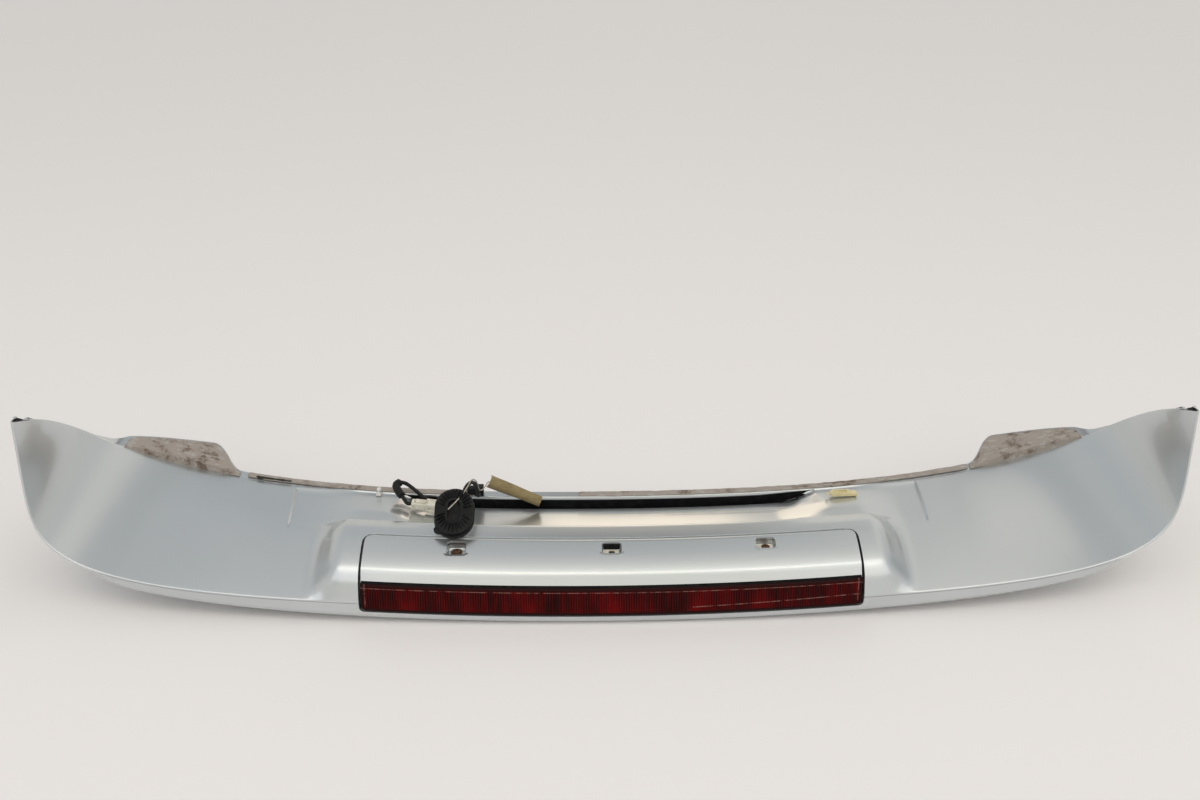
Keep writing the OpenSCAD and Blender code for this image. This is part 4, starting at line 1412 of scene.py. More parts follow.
class Repeater:
    """Geometry Nodes group that sets one small mesh on every point of another."""

    SOCKETS = (("Geometry", "NodeSocketGeometry", None), ("Rib", "NodeSocketObject", None),
               ("Finish", "NodeSocketMaterial", None), ("Least size", "NodeSocketVector", (1, 1, 1)),
               ("Greatest size", "NodeSocketVector", (1, 1, 1)), ("Seed", "NodeSocketInt", 7))

    def __init__(self) -> None:
        """Builds the group."""
        tree = bpy.data.node_groups.new("set_on_points", "GeometryNodeTree")
        self.tree = tree
        for name, kind, value in self.SOCKETS:
            socket = tree.interface.new_socket(name, in_out="INPUT", socket_type=kind)
            if value is not None:
                socket.default_value = value
        tree.interface.new_socket("Geometry", in_out="OUTPUT", socket_type="NodeSocketGeometry")
        given = tree.nodes.new("NodeGroupInput").outputs
        info = self.add("GeometryNodeObjectInfo", {"Object": given["Rib"]})
        turn = self.add("GeometryNodeInputNamedAttribute", {"Name": "turn"}, data_type="FLOAT_VECTOR")
        size = self.add("FunctionNodeRandomValue", {"Min": given["Least size"], "Max": given["Greatest size"],
                                                    "Seed": given["Seed"]}, data_type="FLOAT_VECTOR")
        made = self.add("GeometryNodeInstanceOnPoints", {
            "Points": given["Geometry"], "Instance": info.outputs["Geometry"],
            "Rotation": turn.outputs["Attribute"], "Scale": size.outputs["Value"]})
        real = self.add("GeometryNodeRealizeInstances", {"Geometry": made.outputs["Instances"]})
        done = self.add("GeometryNodeSetMaterial", {"Geometry": real.outputs["Geometry"], "Material": given["Finish"]})
        out = tree.nodes.new("NodeGroupOutput")
        tree.links.new(done.outputs["Geometry"], out.inputs["Geometry"])

    def add(self, kind: str, values: dict, **settings: object) -> bpy.types.Node:
        """Adds a node, with settings first and then sockets or plain values.

        Args:
            kind: the node's type.
            values: sockets or plain values for its inputs, by name.
            settings: what is set on the node.

        Returns:
            The new node.
        """
        made = self.tree.nodes.new(kind)
        for key, value in settings.items():
            setattr(made, key, value)
        for key, value in values.items():
            socket = next(s for s in made.inputs if s.name == key and s.enabled)
            if isinstance(value, bpy.types.NodeSocket):
                self.tree.links.new(value, socket)
            else:
                socket.default_value = value
        return made

    def spread(self, name: str, rib: Thing, at: Array, turns: Array, finish: Finishes,
               sizes: tuple[Triple, Triple], seed: int) -> Thing:
        """Sets copies of a rib on points.

        Args:
            name: the new object's name.
            rib: mesh made about the origin, thrown away afterwards.
            at: points in millimetres.
            turns: rotation of each copy about X, Y and Z, in radians.
            finish: the copies' look.
            sizes: least and greatest stretch along each axis.
            seed: seed of the stretch.

        Returns:
            One plain mesh of all copies.
        """
        obj = new_object(name, place(at), [], False)
        attribute = obj.data.attributes.new("turn", "FLOAT_VECTOR", "POINT")
        attribute.data.foreach_set("vector", np.asarray(turns, np.float32).ravel())
        modifier = obj.modifiers.new("repeat", "NODES")
        modifier.node_group = self.tree
        given = {"Rib": rib, "Finish": finish.value.material(), "Least size": sizes[0], "Greatest size": sizes[1],
                 "Seed": seed}
        for item in self.tree.interface.items_tree:
            if item.item_type == "SOCKET" and item.in_out == "INPUT" and item.name in given:
                modifier[item.identifier] = given[item.name]
        bake(obj)
        bpy.data.objects.remove(rib)
        return obj


def half_round(name: str, width: float, rise: float, lengthwise: Pairs, sides: int = 6) -> Thing:
    """Half-round rib about the origin that runs along points in Y and Z, bulging towards -Y.

    Args:
        name: the object's name.
        width: its width.
        rise: how far it bulges.
        lengthwise: Y and Z of its rings.
        sides: points over the bulge.

    Returns:
        The rib.
    """
    arc = np.linspace(0, math.pi, sides)
    rings = []
    for k, (y, z) in enumerate(lengthwise):
        thin = 0.35 if k in (0, len(lengthwise) - 1) else 1.0
        top = stack(-np.cos(arc) * width / 2, y - np.sin(arc) * rise * thin, z)
        rings.append(np.concatenate([top, [[width / 2, y + 0.4, z], [-width / 2, y + 0.4, z]]]))
    return new_object(name, np.concatenate(rings) * MM, loft_faces(len(rings), len(rings[0])))


@dataclass(frozen=True)
class Lamp:
    """Fluted lens and the seal above it."""

    half: float = 266.5
    low: tuple[float, float] = (3.0, 12.0)
    high: tuple[float, float] = (8.2, 39.4)
    depth: float = 17
    wall: float = 2.2
    flutes: int = 138
    flute_reach: float = 259
    flute_width: float = 3.4
    flute_rise: float = 0.3

    def map_uv(self, obj: Thing) -> None:
        """Stores the share of the span and of the lens's height as UV coordinates.

        Args:
            obj: the lens.
        """
        mesh = obj.data
        uv = mesh.uv_layers.get("UVMap") or mesh.uv_layers.new(name="UVMap")
        points = np.array([v.co for v in mesh.vertices]) / MM
        corner = np.array([loop.vertex_index for loop in mesh.loops])
        u = points[corner, 0] / (2 * self.half) + 0.5
        v = (points[corner, 2] - GUIDES.bow(points[corner, 0])[:, 2] - self.low[1]) / (self.high[1] - self.low[1])
        uv.data.foreach_set("uv", np.stack([u, v], axis=-1).astype(np.float32).ravel())

    def build(self, repeater: Repeater) -> list[Thing]:
        """Makes the lens with its flutes, and the seal.

        Args:
            repeater: the group that sets the flutes.

        Returns:
            Lens and seal.
        """
        (y1, z1), (y2, z2) = self.low, self.high
        lens = BAY.sheet("lamp_lens_shell", [(y1 + self.depth, z1 + 0.6), (y1, z1), (mix(y1, y2, 0.5), (z1 + z2) / 2),
                                             (y2, z2), (y1 + self.depth, z2)], [1.5, BROAD, 1.2], self.wall,
                         BAY.sheet_half, True)
        carve(lens, BAY.prism("lens_edge", self.half, z1, BAY.low_radius, 60, (-20, 60), True), Cut.KEEP)
        x = np.linspace(-self.flute_reach, self.flute_reach, self.flutes)
        rows = [(mix(y1, y2, k), mix(z1, z2, k)) for k in (0.16, 0.19, 0.5, 0.84, 0.87)]
        rib = half_round("flute", self.flute_width, self.flute_rise, [(y + 0.15, z) for y, z in rows])
        turns = stack(0.0, 0.0, np.arctan(2 * GUIDES.crest_bow * PER_M2 * x))
        flutes = repeater.spread("lens_flutes", rib, GUIDES.bow(x) + stack(x, 0.0, 0.0), turns, Finishes.LENS,
                                 ((0.85, 0.6, 1), (1.0, 1.1, 1)), 11)
        lens = joined("lamp_lens_shell", [dressed(lens, Finishes.LENS), dressed(flutes, Finishes.LENS)])
        crisp(lens, 60)
        self.map_uv(lens)
        seal = BAY.sheet("lens_seal_strip", [(16, 44.4), (y2 + 0.3, z2 + 0.4), (y2 + 1.0, z2 + 2.0), (17, 46.6)],
                         [0.8, 0.8], 0.8, self.half - 0.5, True)
        return [add_piece(lens, "lens_red", Finishes.LENS, "lamp_lens"),
                add_piece(seal, "seal_rubber", Finishes.SEAL_AND_SHADE, "lens_seal")]


@dataclass(frozen=True)
class Screws:
    """Rusty pan-head screws with a washer face and a cross recess."""

    profile: Pairs = ((0.4, 0), (5.8, 0), (6.3, 0.35), (6.0, 0.8), (4.7, 0.95), (4.5, 1.6), (3.6, 2.3), (2.2, 2.75),
                      (0.2, 2.85))
    shank: float = 2.1
    tip: float = -11
    cross_half: float = 2.3
    cross_width: float = 1.1
    cross_floor: float = 1.5

    def build(self) -> list[Thing]:
        """Makes the left and the right screw.

        Returns:
            Left and right screw.
        """
        made = []
        arm = np.array([self.cross_half, self.cross_width / 2, 0])
        for side, turn, which in ((-1, 0.5, "left"), (1, 1.1, "right")):
            x = side * SCREW_PITCH
            centre = GUIDES.bow(x) + [x, SCREW_Y + side - 1, SHELF]
            head = turned(f"screw_head_{side}", self.profile, centre)
            for a in (turn, turn + math.pi / 2):
                carve(head, block("cross", -arm + [0, 0, self.cross_floor], arm + [0, 0, 5],
                                  Matrix.Rotation(a, 3, "Z"), centre))
            shank = post("screw_shank", centre, self.tip, 0.2, self.shank)
            head = crisp(joined(f"rusty_screw_{which}", [head, shank]), 30)
            made.append(add_piece(head, "rusty_steel", Finishes.RUST, f"cover_screw_{which}"))
        return made


def bumps(points: Iterable[Sequence[float]]) -> Array:
    """Soft noise from -1 to 1 at every point."""
    return np.array([noise.noise(Vector(p)) for p in points])


def drawn_in(near: Array, far: Array, ends: Array) -> tuple[Array, Array]:
    """Both edges of a ribbon, drawn together towards its ends."""
    middle = (near + far) / 2
    return mix(middle, near, ends), mix(middle, far, ends)


@dataclass(frozen=True)
class Strip:
    """One ribbon of old tape or foam on the mounting land."""

    name: str
    start: float
    end: float
    near: float
    far: float
    height: float
    slot: str
    finish: Finishes
    ragged: float = 0.8
    lump: float = 0.25
    seed: float = 0.0
    nodes: tuple[str, ...] = ()
    step: float = 1.5
    wall: float = 0.12

    def build(self) -> Thing:
        """Makes the ribbon with uneven edges and a lumpy top.

        Returns:
            The ribbon.
        """
        x = np.arange(self.start, self.end + 0.1, self.step)
        s = x / GUIDES.front_half

        def wander(scale: float, offset: float) -> Array:
            """Soft noise along the ribbon."""
            return bumps((v * scale, offset + self.seed, 0.3) for v in x)

        near = self.near + self.ragged * (wander(0.05, 1) + 0.6 * wander(0.3, 2))
        far = self.far + self.ragged * (wander(0.06, 3) + 0.6 * wander(0.35, 4))
        ends = np.minimum(1, np.minimum(x - x[0] + 0.6, x[-1] - x + 0.6) / 2.5) ** 0.5
        near, far = drawn_in(near, far, ends)
        grid = []
        for k, lift in ((0.0, 0.12), (0.02, 0.85), (0.15, 1.0), (0.38, 1.0), (0.62, 1.0), (0.85, 1.0), (0.98, 0.85),
                        (1.0, 0.12)):
            p = GUIDES.on_land(s, mix(near, far, k))
            p[:, 2] += (self.height + self.lump * wander(0.12, 5 + 3 * k)) * lift
            grid.append(p)
        obj = shell(self.name, np.stack(grid, axis=1), self.wall)
        return add_piece(crisp(obj, 60), self.slot, self.finish, *self.nodes)


def pad(side: int) -> Thing:
    """Torn tape pad in the wide part of the land at one end.

    Args:
        side: -1 for the left end, 1 for the right end.

    Returns:
        The pad.
    """
    g = GUIDES
    a = np.linspace(g.pad_in - 42, g.pad_out - 2, 90)
    s = a / g.front_half
    t = (a - a[0]) / (a[-1] - a[0])
    ends = np.minimum(1, np.minimum(t, 1 - t) * 12 + 0.15) ** 0.5
    wobble = bumps((v * 0.14, side * 9.0, 0) for v in a)
    near = 0.8 + 0.7 * wobble
    far = g.land_width(a) - 2.0 + 1.2 * wobble[::-1]
    riser = np.maximum(0, g.land_height(s) - g.front(s)[:, 2])
    near, far = drawn_in(near, far, ends)
    rows = []
    for k in (-1.0, -0.4, *np.linspace(0, 1, 28)):
        p = g.on_land(s, mix(near, far, k) if k >= 0 else np.full(len(a), 0.9 * k))
        lumps = (bumps((v[0] * 0.11, v[1] * 0.11, side * 4.0) for v in p)
                 + 0.5 * bumps((v[0] * 0.4, v[1] * 0.4, side * 2.0) for v in p))
        p[:, 2] += (0.9 + 0.3 * np.clip(lumps, -1, 1)) * (0.2 if k == 1.0 else 1.0) - (1.0 + riser) * (k == -1.0)
        p[:, 0] *= side
        rows.append(p)
    name, node = ("left_pad_torn", "tape_pad_left") if side < 0 else ("right_pad_torn", "tape_pad_right")
    return add_piece(crisp(shell(name, np.stack(rows, axis=1), 0.15, side < 0), 60), "tape", Finishes.TAPE, node)


def strips() -> list[Thing]:
    """Makes all strips and pads on the land.

    Returns:
        The strips and then the pads.
    """
    made = [Strip(*row).build() for row in (
        ("tape_left", -429, -154, 0.6, 10.2, 1.3, "tape", Finishes.TAPE, 0.7, 0.22, 1.0, ("flange_tape",)),
        ("tape_right", -35, 436, 0.6, 10.2, 1.3, "tape", Finishes.TAPE, 0.7, 0.22, 5.0),
        ("foam_left", -418, -376, 0.9, 4.4, 2.1, "black_foam", Finishes.FOAM, 0.9, 0.5, 8.0, ("foam_strip",)),
        ("liner_right", 439, 460, 1.2, 4.2, 0.5, "white_liner", Finishes.WHITE, 0.2, 0.1, 3.0, ("liner_strip",)))]
    return made + [pad(-1), pad(1)]


# Clips, wiring and tag


def waved(line: Array, radius: float, depth: float, rate: float) -> Array:
    """Radius at each point of a line, waved inwards by a share of it."""
    return radius * (1 - depth + depth * np.sin(run_of(line) * rate))


def facing(way: Array) -> Matrix:
    """Rotation that turns the X axis to a direction, with Z kept upwards.

    Args:
        way: the direction, of any length.

    Returns:
        The rotation.
    """
    x = unit(way)
    y = unit(np.cross([0, 0, 1], x))
    return Matrix(np.stack([x, y, np.cross(x, y)], axis=1).tolist())


@dataclass(frozen=True)
class Clips:
    """White push clip in the land and a cream clip left in the recess."""

    push_x: float = -271
    push_lean: float = 0.10
    push_profile: Pairs = ((0.5, 0), (4.0, 0), (4.2, 0.6), (4.0, 1.4), (2.3, 1.7), (1.9, 2.4), (1.8, 4.4), (3.4, 4.9),
                           (3.5, 5.5), (2.2, 8.4), (1.5, 9.6), (1.7, 10.2), (2.6, 11.2), (2.8, 12.2), (2.4, 13.4),
                           (1.4, 14.2), (0.2, 14.5))
    spare_at: Triple = (276.0, 160.0, 59.0)

    def build(self) -> list[Thing]:
        """Makes both clips.

        Returns:
            Push clip and spare clip.
        """
        foot = GUIDES.front(self.push_x / GUIDES.front_half) + [0, -5.5, -5.4]
        push = turned("push_clip", self.push_profile, foot, Matrix.Rotation(self.push_lean, 3, "Y"))
        turn = Matrix.Rotation(math.radians(1.5), 3, "Z") @ Matrix.Rotation(math.radians(-3), 3, "X")
        body = block("spare", (-15.5, -4.5, 0), (15.5, 4.5, 5), turn, self.spare_at)
        for low, high in (((-11.5, -3, 2.4), (4, 3, 9)), ((8, -6, 3.4), (20, 6, 9)), ((-20, -6, 3.9), (-13, 6, 9))):
            carve(body, block("spare_cut", low, high, turn, self.spare_at))
        hook = [np.array(turn @ Vector(p)) + self.spare_at for p in
                ((-15, 0, 1.8), (-18, 0.2, 1.6), (-20.4, -0.4, 2.2), (-21.5, -1.6, 3.0), (-20.6, -3.0, 3.2))]
        rib = block("spare_rib", (-11.5, -0.6, 2.2), (4, 0.6, 4.4), turn, self.spare_at)
        spare = joined("cream_clip", [bevelled(body, 0.5), tube("hook", smooth_route(hook, 5), 0.9, 12),
                                      bevelled(rib, 0.2)])
        return [add_piece(crisp(push, 40), "white_nylon", Finishes.WHITE, "locating_clip"),
                add_piece(crisp(spare), "cream_nylon", Finishes.CREAM, "spare_clip")]


@dataclass(frozen=True)
class Cord:
    """A free cord along a route through points in millimetres."""

    name: str
    node: str
    route: tuple[Triple, ...]
    diameter: float
    far_end: str
    stiffness: str
    slot: str
    finish: Finishes
    pieces: tuple[str, ...] = ()
    strands: int = 0
    twist: float = 0.07

    def build(self) -> Thing:
        """Returns:
            The cord.
        """
        line = smooth_route(self.route, 14)
        radius = waved(line, self.diameter / 2, self.twist if self.strands else 0.0, self.strands)
        obj = add_piece(tube(self.name, line, radius), self.slot, self.finish, self.node)
        path = place(line)
        return obj


@dataclass(frozen=True)
class Wiring:
    """Lead, sleeve, connector, grommet and tag of the lamp's harness."""

    lamp: tuple = ((-188, 172, 42), (-199, 171.5, 44.2), (-209, 170.5, 49.5), (-218, 171, 55), (-225, 174, 60.5),
                   (-232, 178, 64.5), (-239, 181, 68), (-245.5, 179, 70.5), (-248.5, 172.5, 70.5),
                   (-245.5, 165.5, 67.5), (-240.5, 159, 64.5), (-236.5, 153, 62.5), (-233.5, 148.2, 61.6),
                   (-229, 147, 61))
    harness: tuple = ((-194, 146, 56.5), (-187, 145.8, 55.6), (-180, 143.2, 54.6), (-174.5, 138, 53.6),
                      (-171.6, 130.5, 53), (-171, 124.5, 53.6), (-171, 120.5, 55.6))
    tail: tuple = ((-162, 104.4, 101.7), (-161, 109, 103.6), (-158.5, 117, 104.5), (-155.5, 127, 101.5),
                   (-153.5, 136, 95), (-152.5, 144, 86), (-152, 150, 77), (-152, 155, 69), (-152, 160.5, 63.2),
                   (-152, 165, 61), (-152, 169.4, 60.8))
    string: tuple = ((-177, 77.95, 97.7), (-169, 87, 101.9), (-162, 96.1, 106.2), (-159, 101.5, 108.6),
                     (-157, 110, 108.4), (-156, 118, 107.8), (-154, 128.5, 104.6), (-152, 138.5, 97),
                     (-151, 146.6, 88), (-150.5, 152.7, 79), (-149.5, 157.7, 72), (-146.5, 163.5, 69.5),
                     (-143, 169, 72.3), (-140.5, 171.5, 74.4), (-135, 171.6, 74.2), (-127, 170.4, 71.4))
    lead: float = 4.5
    sleeve: float = 9.5
    string_d: float = 1.4
    tail_at: Triple = (-157, 170, 55.7)
    foot: Triple = (-171.0, 60.0, 70.6)
    lean: float = 29
    width: float = 44
    length: float = 57
    head_profile: Pairs = ((0, 6), (0, 1.2), (0.5, 0.3), (2.4, 0), (4.3, 0.4), (5.0, 3.2), (6.6, 3.9), (8.4, 3.4),
                           (9.2, 1.3), (10.6, 0.75), (12.2, 1.0), (13.0, 2.2), (13.2, 4.2), (13.3, 9.0), (13.6, 14.0),
                           (13.2, 15.4), (8.5, 15.9), (8.0, 18), (8.2, 21.5))
    rib_inset: float = 2.6
    rib_z: float = 12.9
    ear_profile: Pairs = ((0.7, 0), (1, 0.8), (1, 4.4), (0.8, 5.6), (0.3, 6.0))
    ear_half: tuple[float, float] = (6.2, 4.6)
    ear_at: Triple = (-15.5, -18.5, 0.5)
    neck_from: Triple = (0, 24, 11.5)
    neck_radius: float = 9.0
    bellows: float = 0.55
    bellows_rate: float = 60
    roll: float = 8
    tag_length: float = 66
    tag_at: Triple = (-140.0, 173.0, 76.0)
    tag_along: Triple = (61.0, -12.0, -22.0)
    card: float = 0.35
    lining: float = 0.15

    def oval(self, inset: float, n: int = 20) -> Array:
        """Stadium outline of the grommet, inset all round.

        Args:
            inset: how far inside the widest outline.
            n: points of each half.

        Returns:
            The points.
        """
        r = self.width / 2 - inset
        straight = (self.length - self.width) / 2
        a = np.linspace(0, math.pi, n)
        half = stack(r * np.cos(a), straight + r * np.sin(a), 0.0)
        return np.concatenate([half, -half])

    def on_boot(self, points: Array) -> Array:
        """Moves points from the leaning head's own place into the spoiler's."""
        tilt = np.array(Matrix.Rotation(math.radians(self.lean), 3, "X"))
        return (np.asarray(points, float) + [0, self.length / 2, 0]) @ tilt.T + np.array(self.foot)

    def boot(self, repeater: Repeater) -> Thing:
        """Makes the rubber grommet with its ribs, ear and bellows.

        Args:
            repeater: the group that sets the ribs.

        Returns:
            The grommet.
        """
        head = loft("grommet_head", self.on_boot(np.array([self.oval(inset) + [0, 0, z] for z, inset in
                                                           self.head_profile])))
        spots = self.oval(self.rib_inset, 13)
        spots = np.concatenate([spots[:12], spots[13:25]])  # each half ends where the other starts
        lean = Matrix.Rotation(math.radians(self.lean), 3, "X")
        upright = Matrix.Rotation(-math.pi / 2, 3, "X")
        turns = [list((lean @ Matrix.Rotation(a + math.pi / 2, 3, "Z") @ upright).to_euler())
                 for a in np.arctan2(spots[:, 1], spots[:, 0])]
        rib = half_round("rib", 2.6, 2.2, [(0, 0), (0, 0.8), (0, 5.0), (0, 9.6), (0, 10.6)], 7)
        ribs = repeater.spread("grommet_ribs", rib, self.on_boot(spots + [0, 0, self.rib_z]), np.array(turns),
                               Finishes.RUBBER, ((0.8, 1.0, 0.9), (1.1, 1.6, 1.0)), 4)
        around = circle(FINE_SIDES)
        ear = loft("grommet_ear", self.on_boot(np.array([
            stack(self.ear_half[0] * k * np.cos(around), self.ear_half[1] * k * np.sin(around), z)
            for k, z in self.ear_profile]) + self.ear_at))
        share = np.linspace(0, 0.985, 70)
        line = mix(np.array(self.foot) + self.neck_from, np.array(self.harness[-1]), share[:, None])
        radius = self.neck_radius - self.lead * share + self.bellows * np.sin(share * self.bellows_rate)
        neck = tube("grommet_neck", line, radius, 28)
        parts = [dressed(o, Finishes.RUBBER) for o in (head, ribs, ear, neck)]
        return add_piece(crisp(joined("ribbed_grommet", parts), 50), "seal_rubber", Finishes.RUBBER,
                         "harness_grommet")

    def connector(self) -> list[Thing]:
        """Makes the two halves of the pale connector and the black one behind the grommet.

        Returns:
            Plug, socket and tail connector.
        """
        a = np.array(self.lamp[-1]) + [1, -0.3, -0.1]
        b = np.array(self.harness[0]) - [1, 0, -0.2]
        turn, reach = facing(b - a), float(np.linalg.norm(b - a))
        half = reach / 2

        def part(low: tuple, high: tuple, name: str = "part") -> Thing:
            """Box along the connector."""
            return block(name, low, high, turn, a)

        plug = part((0, -5.5, -4), (half, 5.5, 4))
        carve(plug, part((3, -2.2, 2.6), (9, 2.2, 6), "plug_notch"))
        carve(plug, part((-1, -7, -1.2), (2.2, -4.0, 1.2), "plug_side"))
        latch = part((5, -3.2, 3.8), (half, 3.2, 6.2))
        socket = part((half, -7, -5.5), (reach - 3.2, 7, 5.5))
        carve(socket, part((half - 1, -3.8, 4.2), (half + 6.5, 3.8, 9), "latch_window"))
        carve(socket, part((half + 3, -9, -1.6), (half + 9, -5.8, 1.6), "socket_side"))
        rear = part((reach - 4, -5, -3.6), (reach, 5, 3.6))
        plug = joined("connector_male", [bevelled(plug, 0.4), bevelled(latch, 0.4)])
        socket = joined("connector_female", [bevelled(socket, 0.6), bevelled(rear, 0.5)])
        tail = joined("black_connector", [
            bevelled(block("tail_body", (0, 0, 0), (10, 12, 10), at=self.tail_at), 0.6),
            bevelled(block("tail_side", (-9, 1.5, 1), (0.5, 10.5, 9), at=self.tail_at), 0.5)])
        return [add_piece(crisp(plug), "cream_nylon", Finishes.IVORY, "connector_plug"),
                add_piece(crisp(socket), "cream_nylon", Finishes.IVORY, "connector_socket"),
                add_piece(crisp(tail), "black_plastic", Finishes.BLACK, "tail_connector")]

    def sleeve_piece(self) -> Thing:
        """Makes the ribbed sleeve round the lamp lead's bend.

        Returns:
            The sleeve.
        """
        line = smooth_route(self.lamp[7:11], 24)
        radius = waved(line, self.sleeve / 2, 0.05, 2.4)
        radius[[0, 1, -2, -1]] *= 0.86
        return add_piece(crisp(tube("lead_elbow", line, radius, 24), 50), "cable", Finishes.CABLE, "lead_sleeve")

    def tag_piece(self) -> Thing:
        """Makes the curled card tag, which narrows towards its far end.

        Returns:
            The tag.
        """
        turn = np.array(facing(np.array(self.tag_along)))
        along = np.linspace(0, 1, 34)[:, None]
        sweep = np.linspace(0, 1, 30)[None, :]
        angle = np.radians(mix(-142.0, 38.0 + 60 * along, sweep))
        radius = self.roll * (1.0 - 0.22 * along) * (1 - 0.10 * sweep) + 0.15 * np.sin(9 * along + 5 * sweep)
        x = self.tag_length * along + 2.2 * np.sin(3 * sweep) * (1 - along) - 5 * along * (sweep - 0.5)
        x = np.clip(x, 0, self.tag_length)
        grid = stack(x, radius * np.sin(angle), radius * np.cos(angle) - 0.5) @ turn.T + self.tag_at
        outer = dressed(shell("rolled_tag", grid, self.card), Finishes.KRAFT)
        under = grid - grid_normals(grid) * (self.card + 0.01)
        inner = dressed(shell("tag_lining", under, self.lining), Finishes.CARD)
        return add_piece(crisp(joined("rolled_tag", [outer, inner]), 50), "kraft_paper", Finishes.KRAFT, "tag")

    def build(self, repeater: Repeater) -> None:
        """Makes the whole harness, cords last.

        Args:
            repeater: the group that sets the grommet's ribs.
        """
        boot = self.boot(repeater)
        plug, socket, tail = self.connector()
        sleeve, tag = self.sleeve_piece(), self.tag_piece()
        for cord in (
                Cord("lamp_cable", "lamp_lead", self.lamp, self.lead, "connector", "medium", "cable", Finishes.CABLE,
                     (sleeve.name, plug.name)),
                Cord("harness_cable", "harness_lead", self.harness, self.lead, "fitting", "medium", "cable",
                     Finishes.CABLE, (socket.name, boot.name)),
                Cord("tail_cable", "harness_tail", self.tail, self.lead, "connector", "medium", "cable",
                     Finishes.CABLE, (tail.name,)),
                Cord("tag_cord", "tag_string", self.string, self.string_d, "object", "limp", "string",
                     Finishes.STRING, (tag.name,), 3)):
            cord.build()


# Camera, light and floor


@dataclass(frozen=True)
class Camera:
    """Place, direction and lens of the camera."""

    at: Triple = (-0.037, -1.0622, 0.755)
    yaw: float = 1.4
    pitch: float = 27.4
    roll: float = -0.13
    lens: float = 33.12
    sensor: float = 36
    reach: float = 100

    def build(self) -> Thing:
        """Makes the camera and looks through it.

        Returns:
            The camera.
        """
        yaw, pitch, roll = (math.radians(v) for v in (self.yaw, self.pitch, self.roll))
        ahead = Vector((math.sin(yaw) * math.cos(pitch), math.cos(yaw) * math.cos(pitch), -math.sin(pitch)))
        right = Vector((math.cos(yaw), -math.sin(yaw), 0))
        down = ahead.cross(right)
        across = right * math.cos(roll) + down * math.sin(roll)
        up = right * math.sin(roll) - down * math.cos(roll)
        data = bpy.data.cameras.new("camera")
        data.lens, data.sensor_width, data.clip_end = self.lens, self.sensor, self.reach
        obj = linked("camera", data)
        turn = Matrix([across, up, -ahead]).transposed()
        obj.matrix_world = Matrix.Translation(self.at) @ turn.to_4x4()
        bpy.context.scene.camera = obj
        return obj


@dataclass(frozen=True)
class SoftLight:
    """Rectangular studio light."""

    name: str
    at: Triple
    aim: Triple
    size: tuple[float, float]
    power: float
    colour: Colour

    def build(self) -> Thing:
        """Makes the light.

        Returns:
            The light.
        """
        data = bpy.data.lights.new(self.name, "AREA")
        data.shape = "RECTANGLE"
        data.size, data.size_y = self.size
        data.energy = self.power
        data.color = self.colour
        obj = linked(self.name, data)
        obj.location = self.at
        obj.rotation_euler = (Vector(self.aim) - Vector(self.at)).to_track_quat("-Z", "Y").to_euler()
        return obj


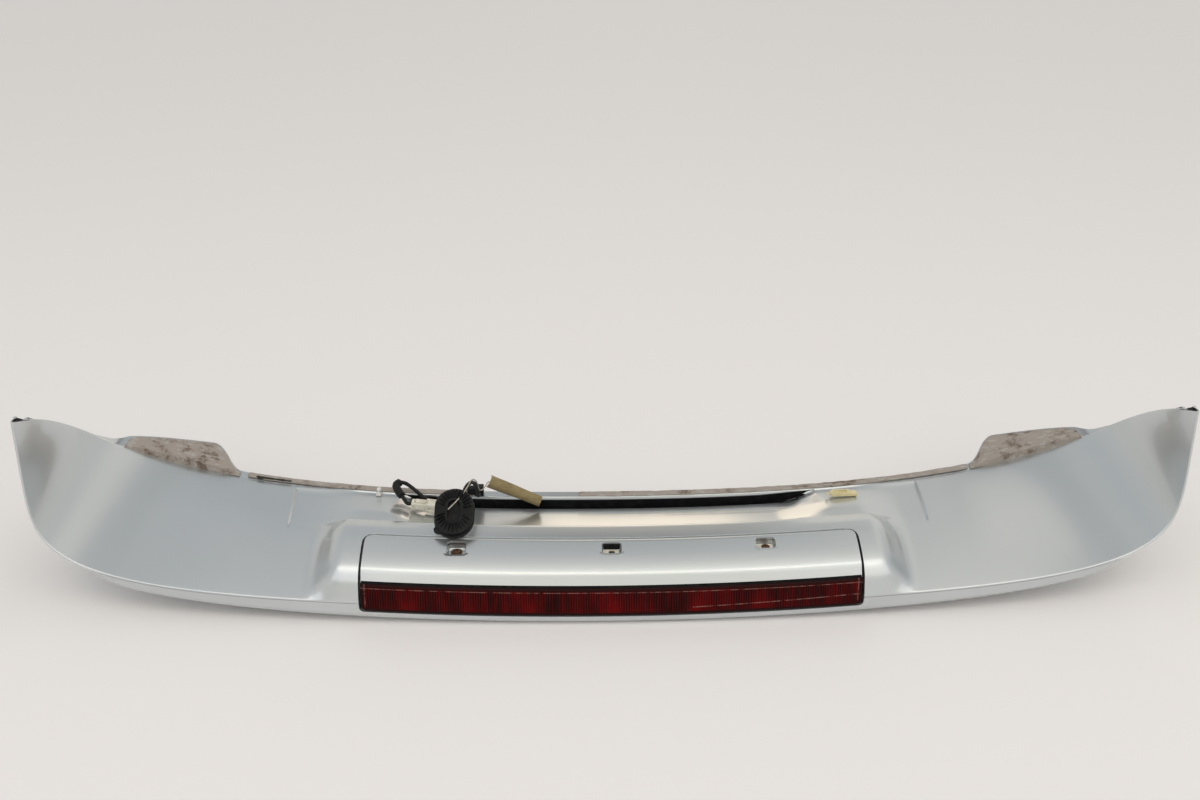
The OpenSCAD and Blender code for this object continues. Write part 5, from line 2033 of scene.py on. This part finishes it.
@dataclass(frozen=True)
class Studio:
    """Lights, surroundings and floor."""

    lights: tuple[SoftLight, ...] = (
        SoftLight("overhead", (0.0, -0.75, 2.4), (0, 0, 0), (3.0, 0.6), 6, (1.0, 0.94, 0.86)),
        SoftLight("window", (-1.6, -2.0, 2.4), (0, 0, 0.05), (2.6, 2.6), 10, (1.0, 0.98, 0.95)),
        SoftLight("fill", (1.8, -1.8, 2.2), (0, 0, 0.05), (2.6, 2.6), 9, (1.0, 0.98, 0.95)))
    arch: tuple[tuple[float, Colour], ...] = (
        (0.00, (1.85, 1.58, 1.26)), (0.130, (1.85, 1.58, 1.26)), (0.155, (0.06, 0.08, 0.10)),
        (0.225, (0.06, 0.08, 0.10)), (0.28, (0.42, 0.44, 0.45)), (0.42, (0.52, 0.53, 0.53)),
        (0.52, (0.90, 0.86, 0.78)), (0.638, (0.85, 0.82, 0.74)), (0.640, (4.00, 3.60, 2.90)),
        (0.652, (4.00, 3.60, 2.90)), (0.654, (0.85, 0.82, 0.74)), (0.78, (0.95, 0.91, 0.82)),
        (0.88, (1.10, 1.04, 0.93)), (1.00, (0.70, 0.70, 0.67)))
    side: tuple[tuple[float, Colour], ...] = (
        (0.0, (0.62, 0.61, 0.56)), (0.10, (0.62, 0.61, 0.56)), (0.30, (0.58, 0.585, 0.57)), (0.55, (0.52, 0.54, 0.56)),
        (0.70, (0.52, 0.54, 0.56)), (1.0, (0.62, 0.62, 0.61)))
    side_from: tuple[float, float] = (0.175, 0.215)
    side_shift: float = 0.05
    side_slant: float = 0.12
    bright_side: Colour = (0.80, 0.77, 0.72)
    right_from: tuple[float, float] = (0.10, 0.32)
    right_fade: tuple[float, float] = (0.50, 0.80)
    right_lost: float = 0.6
    left_from: tuple[float, float] = (0.45, 0.75)
    left_part: float = 0.35
    brightest: float = 4.0
    floor_half: float = 15
    floor_z: float = -0.0004

    def dimmed(self, colour: Colour) -> Colour:
        """A tone as a share of the brightest one, which a ramp can hold."""
        return tuple(c / self.brightest for c in colour)

    def surroundings(self) -> None:
        """Studio round the object.

        An arch of tones runs from the wall behind over the ceiling to the front. It gives way to side walls
        with tones of their own, which are brighter on the right and, further out, on the left.
        """
        world = bpy.data.worlds.new("studio")
        tree = Tree(world)
        way = tree.place("Generated")
        x, y, z = (tree.axis(way, k) for k in range(3))
        turn = tree.maths("ARCTAN2", z, y) * (1 / math.pi)
        arch, side = (tree.sock("ValToRGB", {"stops": [(at, self.dimmed(colour)) for at, colour in stops]}, {0: value})
                      for value, stops in ((turn, self.arch), (z, self.side)))
        beside = tree.share(*self.side_from, tree.maths("ABSOLUTE", x - self.side_shift) + y * self.side_slant)
        right = tree.share(*self.right_from, x) * (1 - tree.share(*self.right_fade, x) * self.right_lost)
        bright = tree.maths("MAXIMUM", right, tree.share(*self.left_from, x * -1.0) * self.left_part)
        side = tree.blend(bright, side, self.dimmed(self.bright_side))
        sky = tree.nodes["Background"]
        tree.feed(sky.inputs["Color"], tree.blend(beside, arch, side))
        sky.inputs["Strength"].default_value = self.brightest
        bpy.context.scene.world = world

    def build(self) -> None:
        """Makes the lights, the surroundings and the floor, which isn't part of the object."""
        for light in self.lights:
            light.build()
        self.surroundings()
        bpy.context.scene.view_settings.view_transform = "Standard"
        points = [(x * self.floor_half, y * self.floor_half, self.floor_z) for x, y in
                  ((-1, -1), (1, -1), (1, 1), (-1, 1))]
        floor = new_object("floor", np.array(points), [(0, 1, 2, 3)], False)
        dressed(floor, Finishes.FLOOR)


# Nodes of the CAD model that are shown as they are, and their finishes

KEPT = {"lamp_housing": Finishes.BLACK, "lamp_reflector": Finishes.BRIGHT, "led_board": Finishes.BOARD,
        "leds": Finishes.DIODE, "screw_grommet_left": Finishes.NYLON, "screw_grommet_centre": Finishes.NYLON,
        "screw_grommet_right": Finishes.NYLON}


def main() -> None:
    """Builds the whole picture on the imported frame."""
    logging.basicConfig(level=logging.INFO, format="%(name)s: %(message)s")
    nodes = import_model()["nodes"]
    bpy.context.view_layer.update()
    Camera().build()
    repeater = Repeater()
    Wiring().build(repeater)
    Skin().build()
    Cover().build()
    Lamp().build(repeater)
    Screws().build()
    strips()
    Clips().build()
    for name, finish in KEPT.items():
        dressed(nodes[name], finish)
    Studio().build()


if __name__ == "__main__":
    main()
